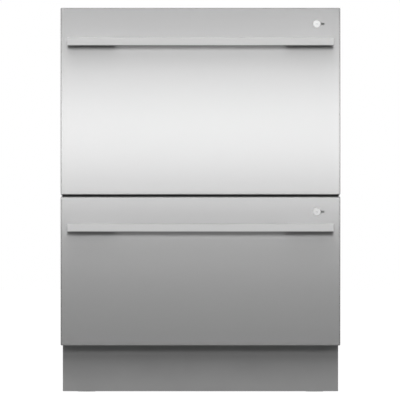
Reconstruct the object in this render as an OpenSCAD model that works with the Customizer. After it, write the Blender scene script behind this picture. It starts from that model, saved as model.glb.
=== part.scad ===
// Built-under double dishwasher drawer: two stacked wash drawers in one steel cabinet,
// each with its own tub, sealing lid, spray arm, wash motor and telescopic runners.
// Units are millimetres. The origin is on the floor under the middle of the whole unit,
// +Z is up and the drawer fronts face -Y.

/* [Fronts] */
// Width of both drawer fronts
front_w = 599; // [580:1:620]
// Height of the upper drawer front
upper_front_h = 400.3; // [380:0.1:440]
// Height of the lower drawer front
lower_front_h = 318.5; // [300:0.1:340]
// Dark gap between the two fronts
front_gap = 4.3; // [3:0.1:6]
// Height of the lower front's bottom edge above the floor
front_base_z = 99.6; // [92:0.1:120]
// Depth of a drawer front, sheet and liner together
front_t = 20; // [18:0.5:24]
// Radius of the rounded edges of the front sheet
front_edge_r = 2; // [1:0.25:3]
// Thickness of the stainless front sheet
skin_t = 1; // [0.8:0.1:1.5]

/* [Handles] */
// Distance from each end of the handle bar to the side of the front
bar_inset = 14.5; // [12:0.5:50]
// Height of the handle bar
bar_h = 16; // [12:0.5:20]
// Thickness of the handle bar, front to back
bar_t = 10; // [8:0.5:14]
// Distance from the front sheet to the face of the handle bar
handle_proj = 42; // [36:0.5:50]
// Distance from the top of a front to the top of its handle bar
bar_drop = 64.3; // [50:0.1:75]
// Distance from the top of the lower front to the top of its handle bar
lower_bar_drop = 58.3; // [50:0.1:75]
// Length of each wide handle post
post_w = 100; // [60:1:140]
// Height of each handle post
post_h = 15; // [10:0.5:15]
// Distance from the end of the bar to its post
post_inset = 2; // [0:0.5:6]
// Width of the bevels along the handle bar
bar_bevel = 1.2; // [0.5:0.1:2]

/* [Start buttons] */
// Diameter of the round start button
button_d = 15.4; // [12:0.2:20]
// Distance of the button's middle from the right-hand side of the front
button_in = 50.5; // [38:0.5:70]
// Distance of the upper button below the top edge of its front
button_drop = 34.3; // [26:0.1:40]
// Distance of the lower button below the top edge of its front
lower_button_drop = 32.3; // [26:0.1:40]
// How far the button can be pressed
button_travel = 1; // [0.6:0.1:1.5]

/* [Cabinet] */
// How far each side of a front stands past the cabinet
side_reveal = 2; // [1:0.5:4]
// How far the upper front stands above the cabinet
top_reveal = 1.7; // [1:0.1:4]
// Depth of the steel cabinet
cabinet_d = 553; // [545:1:570]
// Gap between the cabinet and the closed fronts
buffer_gap = 2; // [1:0.5:3]
// Thickness of the cabinet sheet
sheet_t = 1.2; // [1:0.1:1.5]
// Height of the front crossbars
crossbar_h = 11.5; // [10:0.5:13]
// Depth of the front crossbars
crossbar_d = 30; // [24:1:40]

/* [Toe kick and feet] */
// How far each side of the cabinet stands past the toe kick
toe_reveal = 2.2; // [1:0.1:8]
// Distance of the toe kick behind the face of the fronts
toe_recess = 50; // [40:1:70]
// Floor clearance of the toe kick panel
toe_lift = 1; // [0.5:0.5:4]
// Distance of the feet from the side of the base
foot_in = 48.3; // [40:0.1:70]
// Radius of a levelling foot
foot_r = 20; // [15:0.5:24]
// How far a foot can be screwed out
foot_travel = 57; // [40:1:60]
// Radius of a foot's threaded stem
stem_r = 5; // [4:0.5:6]

/* [Runners] */
// Length of the telescopic runners
rail_len = 490; // [460:1:495]
// Thickness of a closed runner
rail_t = 12.7; // [12.7:0.1:14]
// Height of a runner
rail_h = 45; // [40:1:50]
// Thickness of the runner steel
rail_sheet = 1.2; // [1:0.1:1.4]
// Height of the runner's middle above the bottom of its drawer
rail_up = 88; // [84:1:110]

/* [Tubs] */
// Wall thickness of a tub
tub_wall = 3; // [2.5:0.1:4]
// Floor thickness of a tub
tub_floor = 4; // [3:0.5:5]
// Radius of the tub's upright corners, outside
tub_corner_r = 46; // [36:1:60]
// Radius between the tub's walls and its floor, outside
tub_foot_r = 30; // [20:1:40]
// Free height under a tub floor for motor and electronics
under_tub = 60; // [58:1:66]
// Space behind a tub for hoses and valves
service_d = 50; // [46:1:60]
// Width of the tub's rim outside its walls
rim_out = 4; // [3:0.5:5]
// Radius of the round filter well in the tub floor
well_r = 150; // [130:1:160]
// Depth of the filter well
well_deep = 8; // [6:0.5:10]
// Radius of the pump sump under the filter
sump_r = 70; // [60:1:76]
// Depth of the pump sump below the tub floor
sump_deep = 24; // [20:1:26]

/* [Lids] */
// Thickness of a lid
lid_t = 12; // [10:0.5:13]
// Thickness of a lid seal
seal_t = 3; // [2.5:0.25:4]
// How far a lid is lifted off the closed tub
lid_lift = 8; // [6:0.5:9]

/* [Wash parts] */
// Overall length of a spray arm
arm_len = 430; // [360:2:440]
// Thickness of a spray arm
arm_t = 11; // [9:0.5:13]
// Radius of the spray arm's spindle
spindle_r = 8; // [6:0.5:10]
// Radius of the wash motor
motor_r = 76; // [66:1:84]

/* [Baskets] */
// Radius of the basket wire
wire_r = 2.2; // [1.8:0.1:2.6]
// Distance between the wires of the basket floor
wire_pitch = 42; // [38:1:50]
// Length of a plate tine
tine_h = 62; // [40:1:68]
// Depth of a folding cup rack
cup_rack_w = 84; // [70:1:88]

/* [Hidden] */
$fn = 48;

// Finishes
STEEL = "#b9bbbd";
BAR_STEEL = "#cfd0d2";
SHEET = "#a9adb0";
BLACK = "#2a2b2d";
TUB_GREY = "#d9dbda";
WHITE = "#ececea";
MID_GREY = "#7d8184";
WIRE_GREY = "#8d9194";
CAP_BLUE = "#5d8fb3";
RUBBER = "#3b3c3e";

// Clearances
slide_gap = 0.3;     // between a moving piece and what carries it
spin_gap = 0.1;      // round a turning shaft
rail_gap = 0.7;      // between the webs and lips of a runner's members
race_gap = 3;        // ball race between the flanges of a runner's members
lip_gap = 0.8;       // between the lips of one member and the flange of the next
pass_gap = 1.8;      // between a drawer and a crossbar that it passes
lid_gap = 3;         // above a raised lid
lid_side_gap = 0.6;  // between a lid and the plane of the runners
base_reveal = 0.4;   // from the bottom of the lower front up to the base sheet
divider_rise = 0.1;  // from the bottom of the upper front up to the divider's top
eps = 0.01;

// Heights: LOW and UPP pick the drawer
LOW = 0;
UPP = 1;
upper_front_z = front_base_z + lower_front_h + front_gap;
front_top_z = upper_front_z + upper_front_h;
cabinet_top_z = front_top_z - top_reveal;
plate_z = front_base_z + base_reveal;
floor_sheet_z = plate_z + sheet_t;
top_sheet_z = cabinet_top_z - sheet_t;
divider_top_z = upper_front_z + divider_rise;
function front_z(d) = d == UPP ? upper_front_z : front_base_z;
function front_h(d) = d == UPP ? upper_front_h : lower_front_h;
function bay_low(d) = (d == UPP ? divider_top_z : floor_sheet_z) + pass_gap;
function bay_high(d) = (d == UPP ? top_sheet_z : divider_top_z) - crossbar_h;
function lid_z(d) = bay_high(d) - lid_gap - lid_t;
function rim_z(d) = lid_z(d) - seal_t - lid_lift;
function floor_z(d) = bay_low(d) + under_tub;
function rail_z(d) = bay_low(d) + rail_up;
function bar_top_z(d) = front_z(d) + front_h(d) - (d == UPP ? bar_drop : lower_bar_drop);
function button_z(d) = front_z(d) + front_h(d) - (d == UPP ? button_drop : lower_button_drop);

// Widths
cabinet_w = front_w - 2 * side_reveal;
toe_w = cabinet_w - 2 * toe_reveal;
bar_w = front_w - 2 * bar_inset;
button_x = front_w / 2 - button_in;
side_in = cabinet_w / 2 - sheet_t;

// Depths, from the face of the handle bar to the rear
unit_d = cabinet_d + buffer_gap + front_t + handle_proj;
bar_y = -unit_d / 2;
front_y = bar_y + handle_proj;
liner_back_y = front_y + front_t;
cabinet_y = liner_back_y + buffer_gap;
rear_y = unit_d / 2;
rear_sheet_y = rear_y - sheet_t;
cabinet_yc = cabinet_y + cabinet_d / 2;

// Runners: the runner pack fills the space between the side sheet and the tub
rail_setback = 6;
rail_seat_t = 2;      // rib on the tub that the runner is screwed to
rail_in = side_in - rail_t;
rail_y0 = cabinet_y + rail_setback;
middle_h = rail_h - 2 * (rail_sheet + race_gap);
inner_h = middle_h - 2 * (rail_sheet + race_gap);
rail_lip = rail_sheet + race_gap - lip_gap;

// Tub
tub_half = rail_in - rail_seat_t;
tub_y0 = liner_back_y + rim_out;
tub_y1 = rear_sheet_y - service_d - rim_out;
tub_d = tub_y1 - tub_y0;
tub_y = (tub_y0 + tub_y1) / 2;
inner_half = tub_half - tub_wall;
inner_y0 = tub_y0 + tub_wall;
inner_y1 = tub_y1 - tub_wall;
lid_half = rail_in - lid_side_gap;
rib_t = 3;            // ribs moulded on a tub

// Wash parts
arm_up = 16;          // bottom of the spray arm above the tub floor
hub_h = 18;
hub_r = 24;
motor_h = 26;
drain_x = 96;         // drain filter, beside the spindle
drain_r = 24;

// Basket
basket_up = 50;       // floor wires above the tub floor
basket_side_gap = 17;
basket_front_gap = 72; // room for the dispenser and its open flap
basket_rear_gap = 12;
basket_below_rim = 12;
basket_half = inner_half - basket_side_gap;
basket_y0 = inner_y0 + basket_front_gap;
basket_y1 = inner_y1 - basket_rear_gap;
basket_yc = (basket_y0 + basket_y1) / 2;
basket_r = 34;
rack_hinge_drop = 96; // cup rack hinge below the tub rim
rack_rod_in = 9;      // cup rack hinge in from the side of the basket
rack_front_in = 110;
rack_rear_in = 60;
rack_wires = 7;
rack_end = 12;        // from the end of the rack to its first cross wire
rack_x = basket_half - rack_rod_in;
rack_y0 = basket_y0 + rack_front_in;
rack_y1 = basket_y1 - rack_rear_in;
rack_pitch = (rack_y1 - rack_y0 - 2 * rack_end) / (rack_wires - 1);
wire_sides = 8;
wire_turn = 180 / wire_sides;
wire_flat = wire_r * cos(wire_turn);  // from the middle of a wire to its flat
wire_step = wire_r * 1.5;             // between crossing layers of wire
thin_wire = 0.8;                      // share of the wire's radius in the rack's cross wires
function rack_wire_y(k) = rack_y0 + rack_end + k * rack_pitch;
function basket_z(d) = floor_z(d) + basket_up;
function basket_top(d) = rim_z(d) - basket_below_rim;
function rack_z(d) = rim_z(d) - rack_hinge_drop;

// Dispenser on the inside of the tub's front wall
disp_w = 168;
disp_h = 92;
disp_t = 24;
disp_x = -40;
disp_below_rim = 22;
disp_corner_r = 10;
cup_w = 62;
cup_h = 32;
cup_deep = 16;
cup_corner_r = 6;
cup_up = 30;          // detergent cup above the bottom of the dispenser
cup_off = 38;         // detergent cup to the left of the dispenser's middle
cap_off = 46;         // rinse aid cap to the right of the dispenser's middle
cup_x = disp_x - cup_off;
cap_x = disp_x + cap_off;
cap_r = 19;
cap_neck_r = 12;
cap_neck_len = 10;
flap_t = 3;
flap_over = 4;        // how far the flap laps over the cup's edge
hinge_r = 3;
hinge_pin_r = 1.6;
hinge_off = 0.8;      // from the flap's back to its hinge barrel
function disp_z(d) = rim_z(d) - disp_below_rim - disp_h;
function cup_z(d) = disp_z(d) + cup_up;
function cup_zc(d) = cup_z(d) + cup_h / 2;

// ---- outlines ----------------------------------------------------------------------

// Rectangle with true round corners, centred
module round_rect(w, h, r) {
    square([w - 2 * r, h], center = true);
    square([w, h - 2 * r], center = true);
    for (x = [-1, 1], y = [-1, 1])
        translate([x * (w / 2 - r), y * (h / 2 - r)]) circle(r);
}

// Rectangle standing on the x axis with two round lower corners
module bowl_outline(w, h, r) {
    translate([-w / 2, r]) square([w, h - r]);
    translate([r - w / 2, 0]) square([w - 2 * r, h]);
    for (x = [-1, 1])
        translate([x * (w / 2 - r), r]) circle(r);
}

// Slot outline along x with round ends
module slot_outline(len, r) {
    square([len - 2 * r, 2 * r], center = true);
    for (x = [-1, 1])
        translate([x * (len / 2 - r), 0]) circle(r);
}

// Open-topped box with round upright corners and a round foot, standing on z = 0
module bowl_block(w, d, h, corner, foot) {
    intersection() {
        linear_extrude(h) round_rect(w, d, corner);
        rotate([90, 0, 0]) translate([0, 0, -d / 2 - 1])
            linear_extrude(d + 2) bowl_outline(w, h + 1, foot);
        rotate([90, 0, 90]) translate([0, 0, -w / 2 - 1])
            linear_extrude(w + 2) bowl_outline(d, h + 1, foot);
    }
}

// Block with all its edges rounded, centred
module soft_block(w, d, h, r) {
    intersection() {
        linear_extrude(h, center = true) round_rect(w, d, r);
        rotate([90, 0, 0]) linear_extrude(d, center = true) round_rect(w, h, r);
        rotate([90, 0, 90]) linear_extrude(w, center = true) round_rect(d, h, r);
    }
}

// Cylinder along y from y0 to y1
module rod_y(x, z, y0, y1, r) {
    translate([x, y0, z]) rotate([-90, 0, 0]) cylinder(h = y1 - y0, r = r);
}

// Cylinder along x from x0 to x1
module rod_x(y, z, x0, x1, r) {
    translate([x0, y, z]) rotate([0, 90, 0]) cylinder(h = x1 - x0, r = r);
}

// Wires of radius r along x, y and z, with flat sides so that they seat on each other
module wire_x(y, z, x0, x1, r = wire_r) {
    translate([x0, y, z]) rotate([0, 90, 0]) wire(x1 - x0, r);
}

module wire_y(x, z, y0, y1, r = wire_r) {
    translate([x, y0, z]) rotate([-90, 0, 0]) wire(y1 - y0, r);
}

module wire(len, r = wire_r) {
    rotate([0, 0, wire_turn]) cylinder(h = len, r = r, $fn = wire_sides);
}

// ---- cabinet -----------------------------------------------------------------------

bead_end = 86;        // from the ends of a side sheet to its beads
bead_len = rear_sheet_y - cabinet_y - 2 * bead_end;
bead_yc = (cabinet_y + rear_sheet_y) / 2;
bead_r = 9;
bead_deep = 2;
bead_up = 62;         // first bead above the runner's middle
bead_pitch = 50;
bead_down = 36;       // clear height above the last bead for the lid lifter
side_screw_in = 14;
side_screw_y = cabinet_y + side_screw_in;
side_screw_r = 2.25;
screw_above_base = 40;
screw_below_top = 141;
side_screw_low = plate_z + screw_above_base;
side_screw_high = cabinet_top_z - screw_below_top;
flange_w = 15;
hem_w = 5;
hem_gap = 4;          // from the crossbar to the side sheet's flanges
through = 3;          // how far a cutter runs past a sheet on each side

// Pressed stiffening bead in a side sheet, at height z
module side_bead(z, grow) {
    translate([0, bead_yc, z]) rotate([90, 0, 90])
        linear_extrude(bead_deep) slot_outline(bead_len + 2 * grow, bead_r + grow);
}

function bead_heights() = [
    for (d = [LOW, UPP]) for (z = [rail_z(d) + bead_up:bead_pitch:bay_high(d) - bead_down]) z];

// Right-hand side sheet; the left one is its mirror image
module side_panel() {
    z0 = floor_sheet_z;
    z1 = top_sheet_z;
    flange_y = cabinet_y + crossbar_d + hem_gap;
    color(SHEET) difference() {
        union() {
            translate([side_in, cabinet_y, z0])
                cube([sheet_t, rear_sheet_y - cabinet_y, z1 - z0]);
            // folded hem along the front edge
            translate([side_in - sheet_t, cabinet_y, z0])
                cube([sheet_t + eps, hem_w, z1 - z0]);
            // rear, bottom and top flanges
            translate([side_in - flange_w, rear_sheet_y - sheet_t, z0])
                cube([flange_w + eps, sheet_t, z1 - z0]);
            for (z = [z0, z1 - sheet_t])
                translate([side_in - flange_w, flange_y, z])
                    cube([flange_w + eps, rear_sheet_y - flange_y, sheet_t]);
            for (z = bead_heights())
                translate([side_in - bead_deep + eps, 0, 0]) side_bead(z, 0);
        }
        for (z = bead_heights())
            translate([side_in - bead_deep + sheet_t, 0, 0]) side_bead(z, -sheet_t);
        for (z = [side_screw_low, side_screw_high])
            rod_x(side_screw_y, z, side_in - through, side_in + sheet_t + through, side_screw_r);
    }
}

module left_side_panel() {
    mirror([1, 0, 0]) side_panel();
}

module right_side_panel() {
    side_panel();
}

// Places of the connections on the rear sheet
hose_in = 82.5;       // hose connections in from the sides of the cabinet
hose_up = 70;         // hose connections above the base sheet
gland_up = 200;       // mains gland above the base sheet
inlet_x = cabinet_w / 2 - hose_in;
outlet_x = -inlet_x;
gland_x = inlet_x;
hose_z = plate_z + hose_up;
gland_z = plate_z + gland_up;
inlet_cup_r = 29;
outlet_cup_r = 26;
gland_r = 10;
cup_wall = 2.5;
rear_bead_pitch = 80;
rear_bead_len = 190;
rear_bead_up = 24;    // rear beads above the middle of their bay
rear_beads = [-1.5, -0.5, 0.5, 1.5];
vent_pitch = 24;
vent_len = 26;
vent_r = 3;
vent_up = 22;         // cooling slots above the bottom of the upper drawer

// Rear sheet with round service openings and upright pressed beads
module rear_panel() {
    z0 = floor_sheet_z;
    color(SHEET) difference() {
        union() {
            translate([-cabinet_w / 2, rear_sheet_y, z0])
                cube([cabinet_w, sheet_t, top_sheet_z - z0]);
            for (k = rear_beads, d = [LOW, UPP])
                translate([k * rear_bead_pitch, rear_sheet_y + eps, rear_bead_z(d)]) rear_bead(0);
        }
        for (k = rear_beads, d = [LOW, UPP])
            translate([k * rear_bead_pitch, rear_sheet_y + sheet_t, rear_bead_z(d)])
                rear_bead(-sheet_t);
        rear_hole(inlet_x, hose_z, inlet_cup_r - cup_wall);
        rear_hole(outlet_x, hose_z, outlet_cup_r - cup_wall);
        rear_hole(gland_x, gland_z, gland_r);
        // cooling slots beside the upper drawer's electronics
        for (k = [-4:4])
            translate([k * vent_pitch, rear_y, upper_front_z + vent_up]) rotate([90, 90, 0])
                linear_extrude(2 * through, center = true) slot_outline(vent_len, vent_r);
    }
}

module rear_hole(x, z, r) {
    rod_y(x, z, rear_sheet_y - through, rear_y + through, r);
}

function rear_bead_z(d) = (bay_low(d) + bay_high(d)) / 2 + rear_bead_up;

module rear_bead(grow) {
    rotate([90, 90, 0]) linear_extrude(bead_deep)
        slot_outline(rear_bead_len + 2 * grow, bead_r + grow);
}

bench_hole_r = 2.5;
bench_hole_in = 62.5; // worktop screw holes in from the sides of the cabinet
bench_hole_back = 12; // and back from its front edge
bench_hole_x = cabinet_w / 2 - bench_hole_in;
bench_hole_y = cabinet_y + bench_hole_back;
driver_hole_r = 8;
top_bead_pitch = 100;
top_bead_end = 96.5;  // from the front and rear of the top sheet to its beads

// Top sheet with pressed beads and two worktop screw holes
module top_panel() {
    color(SHEET) difference() {
        union() {
            translate([-cabinet_w / 2, cabinet_y, top_sheet_z])
                cube([cabinet_w, cabinet_d, sheet_t]);
            for (k = [-2:2])
                translate([k * top_bead_pitch, cabinet_yc, top_sheet_z - bead_deep + eps])
                    top_bead(0);
        }
        for (k = [-2:2])
            translate([k * top_bead_pitch, cabinet_yc, top_sheet_z - bead_deep + sheet_t])
                top_bead(-sheet_t);
        for (x = [-1, 1])
            translate([x * bench_hole_x, bench_hole_y, top_sheet_z - 1])
                cylinder(h = sheet_t + 2, r = bench_hole_r);
    }
}

module top_bead(grow) {
    rotate([0, 0, 90]) linear_extrude(bead_deep)
        slot_outline(cabinet_d - 2 * top_bead_end + 2 * grow, bead_r + grow);
}

// Folded channel across the front between the side hems, z0 is its underside
module crossbar(z0) {
    w = 2 * (side_in - sheet_t);
    translate([-w / 2, cabinet_y, z0]) {
        cube([w, sheet_t, crossbar_h]);
        cube([w, crossbar_d, sheet_t]);
        translate([0, 0, crossbar_h - sheet_t]) cube([w, crossbar_d, sheet_t]);
    }
}

module top_crossbar() {
    color(SHEET) difference() {
        crossbar(top_sheet_z - crossbar_h);
        for (x = [-1, 1])
            translate([x * bench_hole_x, bench_hole_y, top_sheet_z - crossbar_h - 1])
                cylinder(h = crossbar_h + 2, r = driver_hole_r);
    }
}

module mid_divider() {
    color(BLACK) crossbar(divider_top_z - crossbar_h);
}

// Base: flat sheet on four skirts, with a threaded sleeve for each foot
skirt_in = 2;         // side skirts in from the toe kick's ends
kick_gap = 12;        // from the toe kick's face to the front skirt
skirt_h = 38;
foot_back = 45;       // front feet behind the front skirt
foot_forward = 50;    // rear feet ahead of the rear skirt
base_half = toe_w / 2 - skirt_in;
base_y0 = front_y + toe_recess + kick_gap;
base_skirt_z = plate_z - skirt_h;
foot_x = base_half - foot_in;
foot_y0 = base_y0 + foot_back;
foot_y1 = rear_y - foot_forward;
sleeve_z = 26;
sleeve_r = 13;
sleeve_cap = 3;       // closed end of a foot sleeve
gusset_t = 4;
stem_hold = 7;        // stem left in its sleeve when a foot is screwed right out
stem_top = sleeve_z + foot_travel + stem_hold;

module base_pan() {
    color(SHEET) difference() {
        union() {
            translate([-cabinet_w / 2, cabinet_y, plate_z]) cube([cabinet_w, cabinet_d, sheet_t]);
            translate([-base_half, base_y0, base_skirt_z]) difference() {
                cube([2 * base_half, rear_y - base_y0, plate_z - base_skirt_z + eps]);
                translate([sheet_t, sheet_t, -1])
                    cube([2 * (base_half - sheet_t), rear_y - base_y0 - 2 * sheet_t, skirt_h + 2]);
            }
            for (x = [-1, 1], y = [foot_y0, foot_y1]) {
                translate([x * foot_x, y, sleeve_z])
                    cylinder(h = plate_z - sleeve_z + eps, r = sleeve_r);
                // gusset from the sleeve to the side skirt
                translate([x > 0 ? foot_x : -base_half, y - gusset_t / 2, base_skirt_z])
                    cube([base_half - foot_x, gusset_t, skirt_h + eps]);
            }
        }
        for (x = [-1, 1], y = [foot_y0, foot_y1])
            translate([x * foot_x, y, sleeve_z - 1])
                cylinder(h = plate_z - sleeve_z + 1 - sleeve_cap, r = stem_r + slide_gap);
    }
}

// Levelling foot: round pad, hexagon to turn it by, and stem in the base sleeve
module foot(x, y) {
    pad_h = 9;
    cone_h = 3;
    hex_h = 12;
    hex_r = stem_r + 4;
    edge = 1.5;
    color(BLACK) translate([x * foot_x, y, 0]) {
        rotate_extrude() {
            square([foot_r - edge, pad_h]);
            translate([0, edge]) square([foot_r, pad_h - 3 * edge]);
            translate([foot_r - edge, edge]) intersection() {
                circle(edge);
                translate([0, -edge]) square(edge);
            }
            polygon([[0, pad_h - eps], [foot_r - edge, pad_h - eps], [hex_r, pad_h + cone_h],
                [0, pad_h + cone_h]]);
        }
        cylinder(h = pad_h + cone_h + hex_h, r = hex_r, $fn = 6);
        cylinder(h = stem_top, r = stem_r);
    }
}

module foot_front_left() { foot(-1, foot_y0); }
module foot_front_right() { foot(1, foot_y0); }
module foot_rear_left() { foot(-1, foot_y1); }
module foot_rear_right() { foot(1, foot_y1); }

// Toe kick: flat sheet with folded top and bottom flanges
toe_y = front_y + toe_recess;
toe_t = 1.5;
toe_flange = 10;
toe_top_z = front_base_z;

module toe_kick() {
    color(STEEL) translate([-toe_w / 2, toe_y, toe_lift]) {
        cube([toe_w, toe_t, toe_top_z - toe_lift]);
        cube([toe_w, toe_flange, toe_t]);
        translate([0, 0, toe_top_z - toe_lift - toe_t]) cube([toe_w, toe_flange, toe_t]);
        for (x = [0, toe_w - toe_t])
            translate([x, 0, 0]) cube([toe_t, toe_flange, toe_top_z - toe_lift]);
    }
}

clip_in = 123.3;      // toe kick clips in from the side skirts
clip_w = 36;
clip_t = 2;
clip_h = 22;
clip_cheek_h = 14;
clip_up = 6;          // clips above the lower edge of the skirt

// Two angle clips that hold the toe kick to the base skirt
module toe_kick_brackets() {
    y0 = toe_y + toe_t;
    deep = base_y0 - y0;
    color(SHEET) for (x = [-1, 1])
        translate([x * (base_half - clip_in) - clip_w / 2, y0, base_skirt_z + clip_up]) {
            cube([clip_w, deep, clip_t]);
            cube([clip_w, clip_t, clip_h]);
            translate([0, deep - clip_t, -clip_t]) cube([clip_w, clip_t, clip_h + clip_t]);
            for (k = [0, clip_w - clip_t])
                translate([k, 0, 0]) cube([clip_t, deep, clip_cheek_h]);
        }
}

// Recessed hose connection: a cup behind the rear sheet with a spigot in its middle
module hose_cup(cup_r, spigot_r, bore_r) {
    rotate([90, 0, 0]) rotate_extrude() {
        translate([cup_r - cup_wall, 0]) square([cup_wall, cup_deep_in]);
        translate([cup_r - eps, 0]) square([cup_flange_w, cup_flange_t]);
        translate([bore_r, cup_deep_in - cup_floor]) square([cup_r - bore_r, cup_floor]);
        translate([bore_r, spigot_back - sheet_t]) square([spigot_r - bore_r, cup_deep_in]);
    }
}

cup_deep_in = 26;
cup_flange_w = 7;
cup_flange_t = 3;
cup_floor = 3;
spigot_back = 0.5;    // end of a spigot in from the rear of the cabinet
inlet_spigot_r = 13.2;
inlet_bore_r = 9;
outlet_spigot_r = 10;
outlet_bore_r = 7;

// Water inlet: recessed threaded spigot with the shut-off valve behind it
module water_inlet() {
    body_r = 22;
    body_t = 10;
    coil_w = 38;
    coil_t = 12;
    coil_h = 52;
    color(WHITE) translate([inlet_x, rear_sheet_y, hose_z]) {
        hose_cup(inlet_cup_r, inlet_spigot_r, inlet_bore_r);
        rod_y(0, 0, -cup_deep_in - body_t, -cup_deep_in, body_r);
        translate([-coil_w / 2, -cup_deep_in - coil_t, -coil_h / 3])
            cube([coil_w, coil_t, coil_h]);
    }
}

// Drain outlet: recessed spigot for the drain hose with its check valve
module drain_outlet() {
    valve_r = 17;
    valve_t = 14;
    color(MID_GREY) translate([outlet_x, rear_sheet_y, hose_z]) {
        hose_cup(outlet_cup_r, outlet_spigot_r, outlet_bore_r);
        rod_y(0, 0, -cup_deep_in - valve_t, -cup_deep_in, valve_r);
    }
}

gland_bore_r = 4.5;
gland_len = 16;

// Round gland where the mains lead enters
module mains_gland() {
    collar_t = 4;
    collar_w = 4;
    nut_t = 5;
    nut_w = 3;
    color(BLACK) translate([gland_x, rear_y, gland_z]) rotate([90, 0, 0]) difference() {
        union() {
            cylinder(h = gland_len, r = gland_r - spin_gap);
            translate([0, 0, sheet_t]) cylinder(h = collar_t, r = gland_r + collar_w);
            translate([0, 0, sheet_t + collar_t])
                cylinder(h = nut_t, r = gland_r + nut_w, $fn = 6);
        }
        translate([0, 0, -1]) cylinder(h = gland_len + 2, r = gland_bore_r);
    }
}

// ---- runners -----------------------------------------------------------------------

// Channel section of a runner member, x runs from the tub to the side sheet
module channel(h, x0, x1, web_out) {
    web_x = web_out ? x1 - rail_sheet : x0;
    lip_x = web_out ? x0 : x1 - rail_sheet;
    translate([web_x, -h / 2]) square([rail_sheet, h]);
    for (s = [-1, 1]) {
        translate([x0, s > 0 ? h / 2 - rail_sheet : -h / 2]) square([x1 - x0, rail_sheet]);
        translate([lip_x, s > 0 ? h / 2 - rail_lip : -h / 2]) square([rail_sheet, rail_lip]);
    }
}

// One runner member on each side of a drawer
module rail_pair(d, y0, len) {
    for (s = [0, 1])
        mirror([s, 0, 0]) translate([rail_in, y0 + len, rail_z(d)]) rotate([90, 0, 0])
            linear_extrude(len) children();
}

middle_x0 = rail_sheet + rail_gap;
middle_x1 = rail_t - rail_sheet - rail_gap;
inner_x1 = middle_x1 - rail_sheet - rail_gap;

module fixed_rails() {
    color(STEEL) for (d = [LOW, UPP])
        rail_pair(d, rail_y0, rail_len) channel(rail_h, middle_x0, rail_t, true);
}

module middle_rails(d) {
    stop_gap = 4;
    color(BAR_STEEL) rail_pair(d, rail_y0 + stop_gap, rail_len - 2 * stop_gap)
        channel(middle_h, middle_x0, middle_x1, true);
}

module drawer_rails(d) {
    color(STEEL) rail_pair(d, rail_y0, rail_len) channel(inner_h, 0, inner_x1, false);
}

module upper_middle_rails() { middle_rails(UPP); }
module lower_middle_rails() { middle_rails(LOW); }
module upper_drawer_rails() { drawer_rails(UPP); }
module lower_drawer_rails() { drawer_rails(LOW); }

// ---- drawer fronts -----------------------------------------------------------------

// Folded stainless front: a shallow pan with soft edges, open to the rear
module front_skin(d) {
    h = front_h(d);
    color(STEEL) difference() {
        translate([0, front_y + front_t / 2 + front_edge_r / 2, front_z(d) + h / 2])
            soft_block(front_w, front_t + front_edge_r, h, front_edge_r);
        translate([-front_w / 2 - 1, liner_back_y, front_z(d) - 1])
            cube([front_w + 2, front_t, h + 2]);
        translate([skin_t - front_w / 2, front_y + skin_t, front_z(d) + skin_t])
            cube([front_w - 2 * skin_t, front_t, h - 2 * skin_t]);
        rod_y(button_x, button_z(d), front_y - through, front_y + through,
            button_d / 2 + slide_gap);
    }
}

liner_rib = 3;
liner_cols = 4;
liner_head = 60;      // closed band along the top, for the button and its switch
button_flange_w = 1.6;
button_flange_t = 2;
button_flange_r = button_d / 2 + button_flange_w;
button_proud = 0.8;
button_dome = 0.6;    // radius of the cap's rounded edge
button_stem = 9;      // from the face of the cap to the end of its stem
button_pocket_y = front_y - button_proud + button_stem + button_travel + slide_gap;

// Moulded liner that stiffens the front, ribbed inside
module front_liner(d) {
    w = front_w - 2 * skin_t;
    h = front_h(d) - 2 * skin_t;
    cell_w = (w - liner_rib) / liner_cols - liner_rib;
    cell_h = h - 2 * liner_rib - liner_head;
    color(TUB_GREY) difference() {
        translate([-w / 2, front_y + skin_t, front_z(d) + skin_t])
            cube([w, front_t - skin_t, h]);
        for (k = [0:liner_cols - 1])
            translate([liner_rib - w / 2 + k * (cell_w + liner_rib), front_y + skin_t - eps,
                front_z(d) + skin_t + liner_rib])
                cube([cell_w, front_t - skin_t - liner_rib, cell_h]);
        rod_y(button_x, button_z(d), front_y, button_pocket_y, button_flange_r + slide_gap);
    }
}

// Start button: domed cap, flange behind the sheet and a short stem to its switch
module start_button(d) {
    r = button_d / 2;
    flange_z = button_proud + skin_t + slide_gap;
    color(WHITE) translate([button_x, front_y - button_proud, button_z(d)])
        rotate([-90, 0, 0]) rotate_extrude() {
            translate([0, button_dome]) square([r, flange_z]);
            square([r - button_dome, flange_z]);
            translate([r - button_dome, button_dome]) circle(button_dome);
            translate([0, flange_z]) square([button_flange_r, button_flange_t]);
            square([r * 0.6, button_stem]);
        }
}

// Flat handle bar with small bevels along its edges
module handle_bar(d) {
    b = bar_bevel;
    color(BAR_STEEL) translate([-bar_w / 2, bar_y, bar_top_z(d) - bar_h])
        rotate([90, 0, 90]) linear_extrude(bar_w)
            polygon([[b, 0], [bar_t, 0], [bar_t, bar_h], [b, bar_h], [0, bar_h - b], [0, b]]);
}

// Two wide posts that carry the bar, flush with its underside
module handle_posts(d) {
    y0 = bar_y + bar_t;
    color(BAR_STEEL) for (s = [-1, 1])
        translate([s * (bar_w / 2 - post_inset - post_w / 2) - post_w / 2, y0,
            bar_top_z(d) - bar_h])
            cube([post_w, front_y - y0, post_h]);
}

// ---- tubs --------------------------------------------------------------------------

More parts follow.
